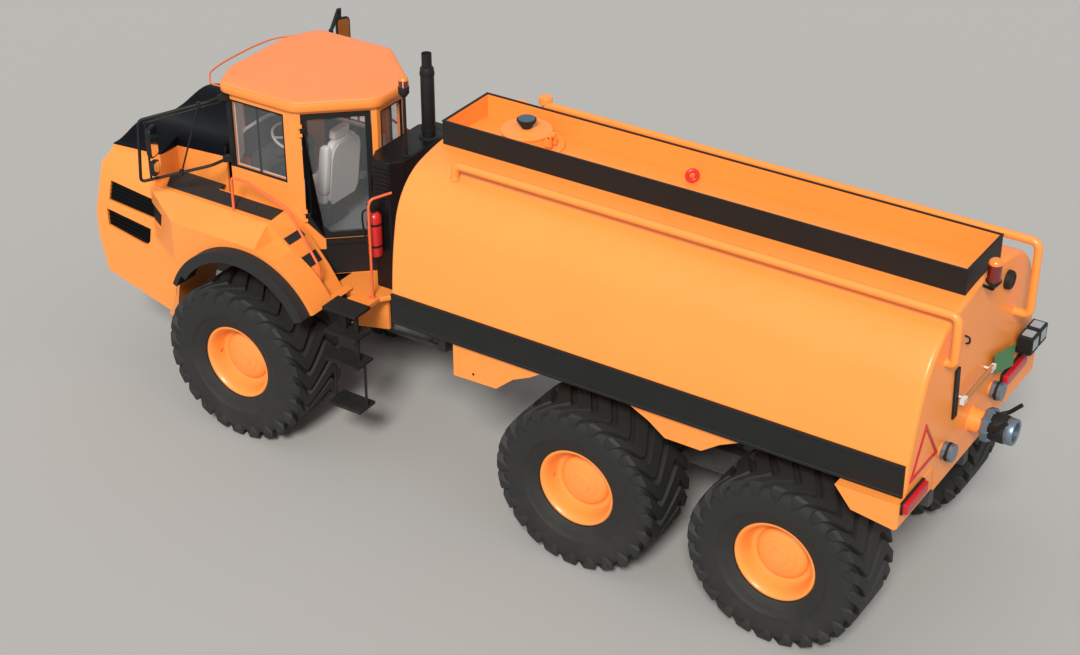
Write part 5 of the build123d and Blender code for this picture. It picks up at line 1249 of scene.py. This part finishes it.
def mirror_head(side):
    """Each housing's outline is a rounded rectangle; it narrows towards the front by a quarter turn."""
    levels = ((4.055, 0.96), (4.055, 1.0), (4.08, 1.0), (4.10, 0.96), (4.112, 0.88), (4.117, 0.72))
    upper, lower = mirror_outline(3.10, 3.46, 0.085, 0.05), mirror_outline(2.875, 3.05, 0.07, 0.05)
    return joined(*[turned_in(side, pressed(outline, levels)) for outline in (upper, lower)])


def mirror_panes(side):
    outlines = mirror_outline(3.118, 3.442, 0.072, 0.035, 5), mirror_outline(2.892, 3.033, 0.057, 0.035, 5)
    return joined(*[turned_in(side, slab(outline, 4.0515, 4.0555, 0)) for outline in outlines])


fit("mirror_hoops", both_sides(mirror_hoop), satin_black, "mirror_arms", ("mirror_arms",))
fit("mirror_housings", both_sides(mirror_head), satin_black, "mirror_heads", ("mirror_heads",))
fit("mirror_panes", both_sides(mirror_panes), mirror_glass, "mirror_heads")

# Handrails: thin bent tube in red-orange, welded to the walkways and to small foot plates. A slim bowed
# tube in front of the roof guards its lamps.
rail_red = finish("red-orange rail", (0.80, 0.15, 0.045), 0.4, dust=0.0, mottle=0.03)
rail_tube, walk_y, post_x, post_y, foot_top = 0.015, 1.13, 1.69, 0.80, 1.787
walk_line = [(3.30, 2.53), (3.30, 2.94), (3.08, 2.94), (2.52, 2.76), (2.14, 2.18), (2.14, 1.855)]
post_line = [(post_x, post_y, 1.7805), (post_x, post_y, 2.90), (1.67, 0.78, 2.975), (1.56, 0.56, 2.99)]


def handrail(side):
    long_rail = pipe(beside(walk_line, side * walk_y), rail_tube, 0.05)
    short_rail = pipe(np.array(post_line) * (1, side, 1), rail_tube, 0.06)
    foot_outline = oblong(post_x - 0.035, post_x + 0.035, post_y - 0.035, post_y + 0.035)
    foot = plate(eased(foot_outline, 0.015), 1.7803, foot_top, 2, side)
    spots = ((post_x, side * post_y, foot_top), (3.30, side * walk_y, 2.5405))
    return joined(long_rail, short_rail, foot, *[weld(at, (0, 0, 1), rail_tube, 0.006) for at in spots])


fit("walkway_handrails", both_sides(handrail), rail_red, "handrails", ("handrails",))
brow = np.array([(3.60, 0.835, 3.83), (3.79, 0.80, 3.80), (4.00, 0.56, 3.80), (4.05, 0.25, 3.80)])
brow_line = np.concatenate([brow, brow[::-1] * (1, -1, 1)])
fit("roof_brow_rail", pipe(brow_line, 0.010, 0.10, 12), rail_red, "cab_roof")

# Fire extinguisher: a red enamelled bottle in a wall cradle, with a black valve, its lever and a hose. It
# hangs a little ahead of its solid and higher.
bottle_at, raised = np.array([1.69, 0.645, 0]), np.array([0.05, 0.0, 0.075])
bottle_profile = [
    (0.004, 2.152), (0.06, 2.150), (0.074, 2.158), (0.080, 2.172), (0.080, 2.60), (0.076, 2.625),
    (0.062, 2.652), (0.042, 2.668), (0.030, 2.674), (0.004, 2.674),
]
valve_profile = [
    (0.004, 2.672), (0.026, 2.672), (0.028, 2.69), (0.022, 2.70), (0.022, 2.73), (0.012, 2.739),
    (0.004, 2.74),
]
lever_outlines = (
    [(1.685, 2.722), (1.79, 2.735), (1.79, 2.742), (1.685, 2.736)],
    [(1.70, 2.70), (1.785, 2.695), (1.785, 2.702), (1.70, 2.712)],
)
hose_line = [
    (1.70, 0.665, 2.705), (1.78, 0.72, 2.70), (1.815, 0.70, 2.58), (1.80, 0.68, 2.36), (1.775, 0.665, 2.30),
]
nozzle_profile = [(0.003, 0.0), (0.013, 0.0), (0.019, 0.09), (0.003, 0.09)]
gauge_profile = [(0.003, 0.0), (0.016, 0.0), (0.016, 0.012), (0.003, 0.013)]
fittings, fitting_faces = joined(
    lathed(valve_profile, bottle_at, sides=24),
    *[plate(outline, 0.637, 0.653, 1) for outline in lever_outlines],
    pipe(hose_line, 0.011, 0.07, 12),
    lathed(nozzle_profile, (1.775, 0.665, 2.31), (-0.15, 0, -1), 20),
    plate(oblong(1.65, 1.73, 2.17, 2.62), 0.5605, 0.5660, 1),
    *[lathed(drum(0.084, z, z + 0.025, 0.0802), bottle_at, sides=40, loop=True) for z in (2.27, 2.53)],
    lathed(gauge_profile, (1.69, 0.665, 2.695), across_y, 24),
)
bottle = lathed(bottle_profile, bottle_at + raised, sides=40)
fit("extinguisher_bottle", bottle, red_enamel, "extinguisher", ("extinguisher",))
fit("extinguisher_valve", (fittings + raised, fitting_faces), satin_black, "extinguisher", (), 45)

# Tail couplings: orange stub pipes welded to the rear head, blued steel clamp rings with cam levers, and
# two smaller screw couplings with the same finish. Profiles hold radius and X.
blued_steel = finish("blued steel", (0.20, 0.27, 0.34), 0.30, metal=0.75, mottle=0.12, dust=0.25, rubbing=0.1)
pipe_z, head_x, bolt_circle = 2.12, -4.885, 0.145
pipe_at, small_at, along_x = (0, 0, pipe_z), ((0, 0.71, 2.17), (0, -0.45, 2.22)), (1, 0, 0)
flange_profile = [
    (0.1195, -5.040), (0.166, -5.040), (0.176, -5.048), (0.176, -5.110), (0.166, -5.117), (0.1195, -5.117),
]
mouth_profile = [
    (0.1002, -5.262), (0.132, -5.262), (0.135, -5.268), (0.135, -5.338), (0.130, -5.3475), (0.106, -5.3475),
    (0.1002, -5.340),
]
small_profile = [
    (0.003, -4.911), (0.090, -4.911), (0.094, -4.916), (0.094, -4.958), (0.065, -4.963), (0.065, -4.976),
    (0.086, -4.979), (0.094, -4.983), (0.094, -5.018), (0.086, -5.026), (0.003, -5.026),
]
clamp_profile = [
    (0.1001, -5.118), (0.138, -5.118), (0.142, -5.125), (0.142, -5.252), (0.138, -5.260), (0.1001, -5.260),
]
stubs = [
    lathed(drum(0.12, head_x, -5.118, 0.099), pipe_at, along_x, loop=True),
    *[lathed(drum(0.070, head_x, -4.912), at, along_x, 36) for at in small_at],
    weld((tank_rear, 0, pipe_z), (-1, 0, 0), 0.12, 0.014),
    *[weld((tank_rear, y, z), (-1, 0, 0), 0.07, 0.01) for _, y, z in small_at],
]
fit("tail_pipe_stubs", joined(*stubs), orange_paint, "tail_couplings", ("tail_couplings",))
bolt_turns = np.linspace(0, 2 * np.pi, 8, endpoint=False)
bolts = [(0, bolt_circle * math.cos(a), pipe_z + bolt_circle * math.sin(a)) for a in bolt_turns]
rings = [
    lathed(flange_profile, pipe_at, along_x, 8, True),
    *[lathed(drum(0.013, -5.030, -5.127), at, along_x, 6) for at in bolts],
    lathed(mouth_profile, pipe_at, along_x, loop=True),
    *[lathed(small_profile, at, along_x, 10) for at in small_at],
]
fit("coupling_rings", joined(*rings), blued_steel, "tail_couplings")


def cam_lever(side):
    """A bent lever on one side of the clamp and the knuckle that it turns on."""
    line = [(-5.13, side * 0.15, 2.175), (-5.20, side * 0.178, 2.2025), (-5.31, side * 0.19, 2.318)]
    knuckle = lathed(drum(0.022, -0.03, 0.03), (-5.15, side * 0.148, 2.165), (0, 0.25, 1), 16)
    return joined(pipe(line, 0.021, 0.03, 10), knuckle)


def ear_bar(y, z):
    return plate(oblong(y - 0.108, y + 0.108, z - 0.016, z + 0.016), -4.976, -4.954, 0)


black_parts = [
    lathed(clamp_profile, pipe_at, along_x, loop=True),
    both_sides(cam_lever),
    lathed(drum(0.099, -5.196, -5.204), pipe_at, along_x, 36),
    *[ear_bar(y, z) for _, y, z in small_at],
    *[lathed(drum(0.0985, -4.957, -4.984, 0.085), at, along_x, 10, True) for at in small_at],
]
fit("coupling_clamp_and_levers", joined(*black_parts), satin_black, "tail_couplings")

# Tail lamps: red reflective lamp bars on black backs, a bracket with two lamp boxes, and a round work lamp.
# The right bar sits higher than the left and nearer the middle. A dark slot, a small hook and the beacon's
# bracket are made with them.
lamp_red = finish("red lamp lens", (0.50, 0.006, 0.014), 0.22, clear_coat=0.2, relief=0.02, **SPOTLESS)
grey_lens = finish("grey lens", (0.30, 0.33, 0.36), 0.3, dust=0.1, mottle=0.05)
bar_ends = {1: (1.12, 1.60, 1.975, 2.085), -1: (-1.24, -0.70, 2.13, 2.24)}
bar_levels = ((-4.905, 1.0), (-4.955, 1.0), (-4.963, 0.97), (-4.966, 0.90))
work_lamp_profile = [
    (0.003, -4.888), (0.095, -4.888), (0.097, -4.90), (0.094, -4.935), (0.080, -4.95), (0.060, -4.95),
    (0.055, -4.942), (0.003, -4.940),
]
slot_section = [(-0.004, -0.045), (-0.004, 0.045), (0.02, 0.045), (0.02, -0.045)]


def lamp_outline(side, margin):
    y0, y1, z0, z1 = bar_ends[side]
    return eased(oblong(y0 - margin, y1 + margin, z0 - margin, z1 + margin), 0.02, 4)


def lamp_bar(side):
    return skin(pressed(lamp_outline(side, 0.0), bar_levels))


def lamp_back(side):
    return plate(lamp_outline(side, 0.012), -4.92, -4.894, 0)


fit("tail_lamp_lenses", both_sides(lamp_bar), lamp_red, "tail_lamps", ("tail_lamps",))
boxes, box_faces = [], []
for y in (-1.15, -1.36):
    boxes.append(plate(eased(oblong(y, y + 0.19, 2.39, 2.575), 0.012, 4), -5.08, -4.93, 0))
    box_faces.append(plate(eased(oblong(-5.06, -4.95, y + 0.03, y + 0.16), 0.012, 4), 2.574, 2.578))
    box_faces.append(plate(eased(oblong(y + 0.03, y + 0.16, 2.43, 2.54), 0.012, 4), -5.084, -5.079, 0))
fit_parts = [
    both_sides(lamp_back),
    *boxes,
    plate(oblong(-1.42, -0.98, 2.37, 2.39), -5.06, -4.889, 0),
    lathed(work_lamp_profile, (0, -0.53, 3.405), along_x, 40),
    pipe([(-4.885, 0.11, 3.645), (-5.0, 0.14, 3.645), (-5.0, 0.16, 3.76)], 0.016, 0.03, 12),
    skin(carried([(-4.892, 0.542, 2.97), (-4.892, 0.497, 2.417)], slot_section, (-1, 0, 0))),
    pipe(beside([(-4.885, 3.27), (-4.94, 3.26), (-4.94, 3.20), (-4.905, 3.19)], 0.429), 0.010, 0.02, 10),
]
fit("tail_boxes_and_slot", joined(*fit_parts), satin_black, "tail_lamps")

# Tail beacon: like the one behind the cab, a size larger and with a taller lens.
foot, low_lens, dome = beacon((-5.0, 0.16), 3.75, 1.42, 0.012)
fit("tail_beacon_foot", foot, satin_black, "tail_lamps")
fit("tail_beacon_low_lens", low_lens, red_lens, "tail_lamps")
fit("tail_beacon_dome", dome, amber_lens, "tail_lamps")

# Plate and triangle: a blank green enamel plate beside a varnished rod on pale blocks, and a red warning
# triangle of reflective strip.
plate_green = finish("green enamel plate", (0.055, 0.19, 0.065), 0.5, mottle=0.08, dust=0.2, rubbing=0.1)
varnish = finish("varnished rod", (0.42, 0.17, 0.05), 0.5, dust=0.2)
green_outline = [(-0.29, 2.701), (-0.86, 2.54), (-0.86, 2.287), (-0.36, 2.449)]
fit("blank_green_plate", plate(green_outline, -4.948, -4.942, 0), plate_green, "tail_lamps")
rod_pins = [
    lathed(drum(0.012, -4.888, -4.955), (0, y, z), along_x, 12) for y, z in ((0.40, 2.59), (-0.20, 2.60))
]
rod_blocks = [plate(oblong(y - 0.05, y + 0.05, 2.565, 2.615), -4.975, -4.935, 0) for y in (0.44, -0.24)]
fit("plate_rod_ends", joined(*rod_pins, *rod_blocks), pale_plastic, "tail_lamps")
fit("plate_rod", pipe([(-4.955, -0.25, 2.60), (-4.955, 0.473, 2.59)], 0.021, 0, 12), varnish, "tail_lamps")
fit("lamp_box_faces", joined(*box_faces), grey_lens, "tail_lamps")
triangle = np.array([(1.164, 2.668), (0.864, 2.233), (1.395, 2.231)])
triangle = 0.93 * (triangle - triangle.mean(0)) + triangle.mean(0)
strip = band(upright(triangle, -4.8905), (-1, 0, 0), 0.034, 0.012, -0.002)
fit("warning_triangle", strip, lamp_red, "tail_lamps")
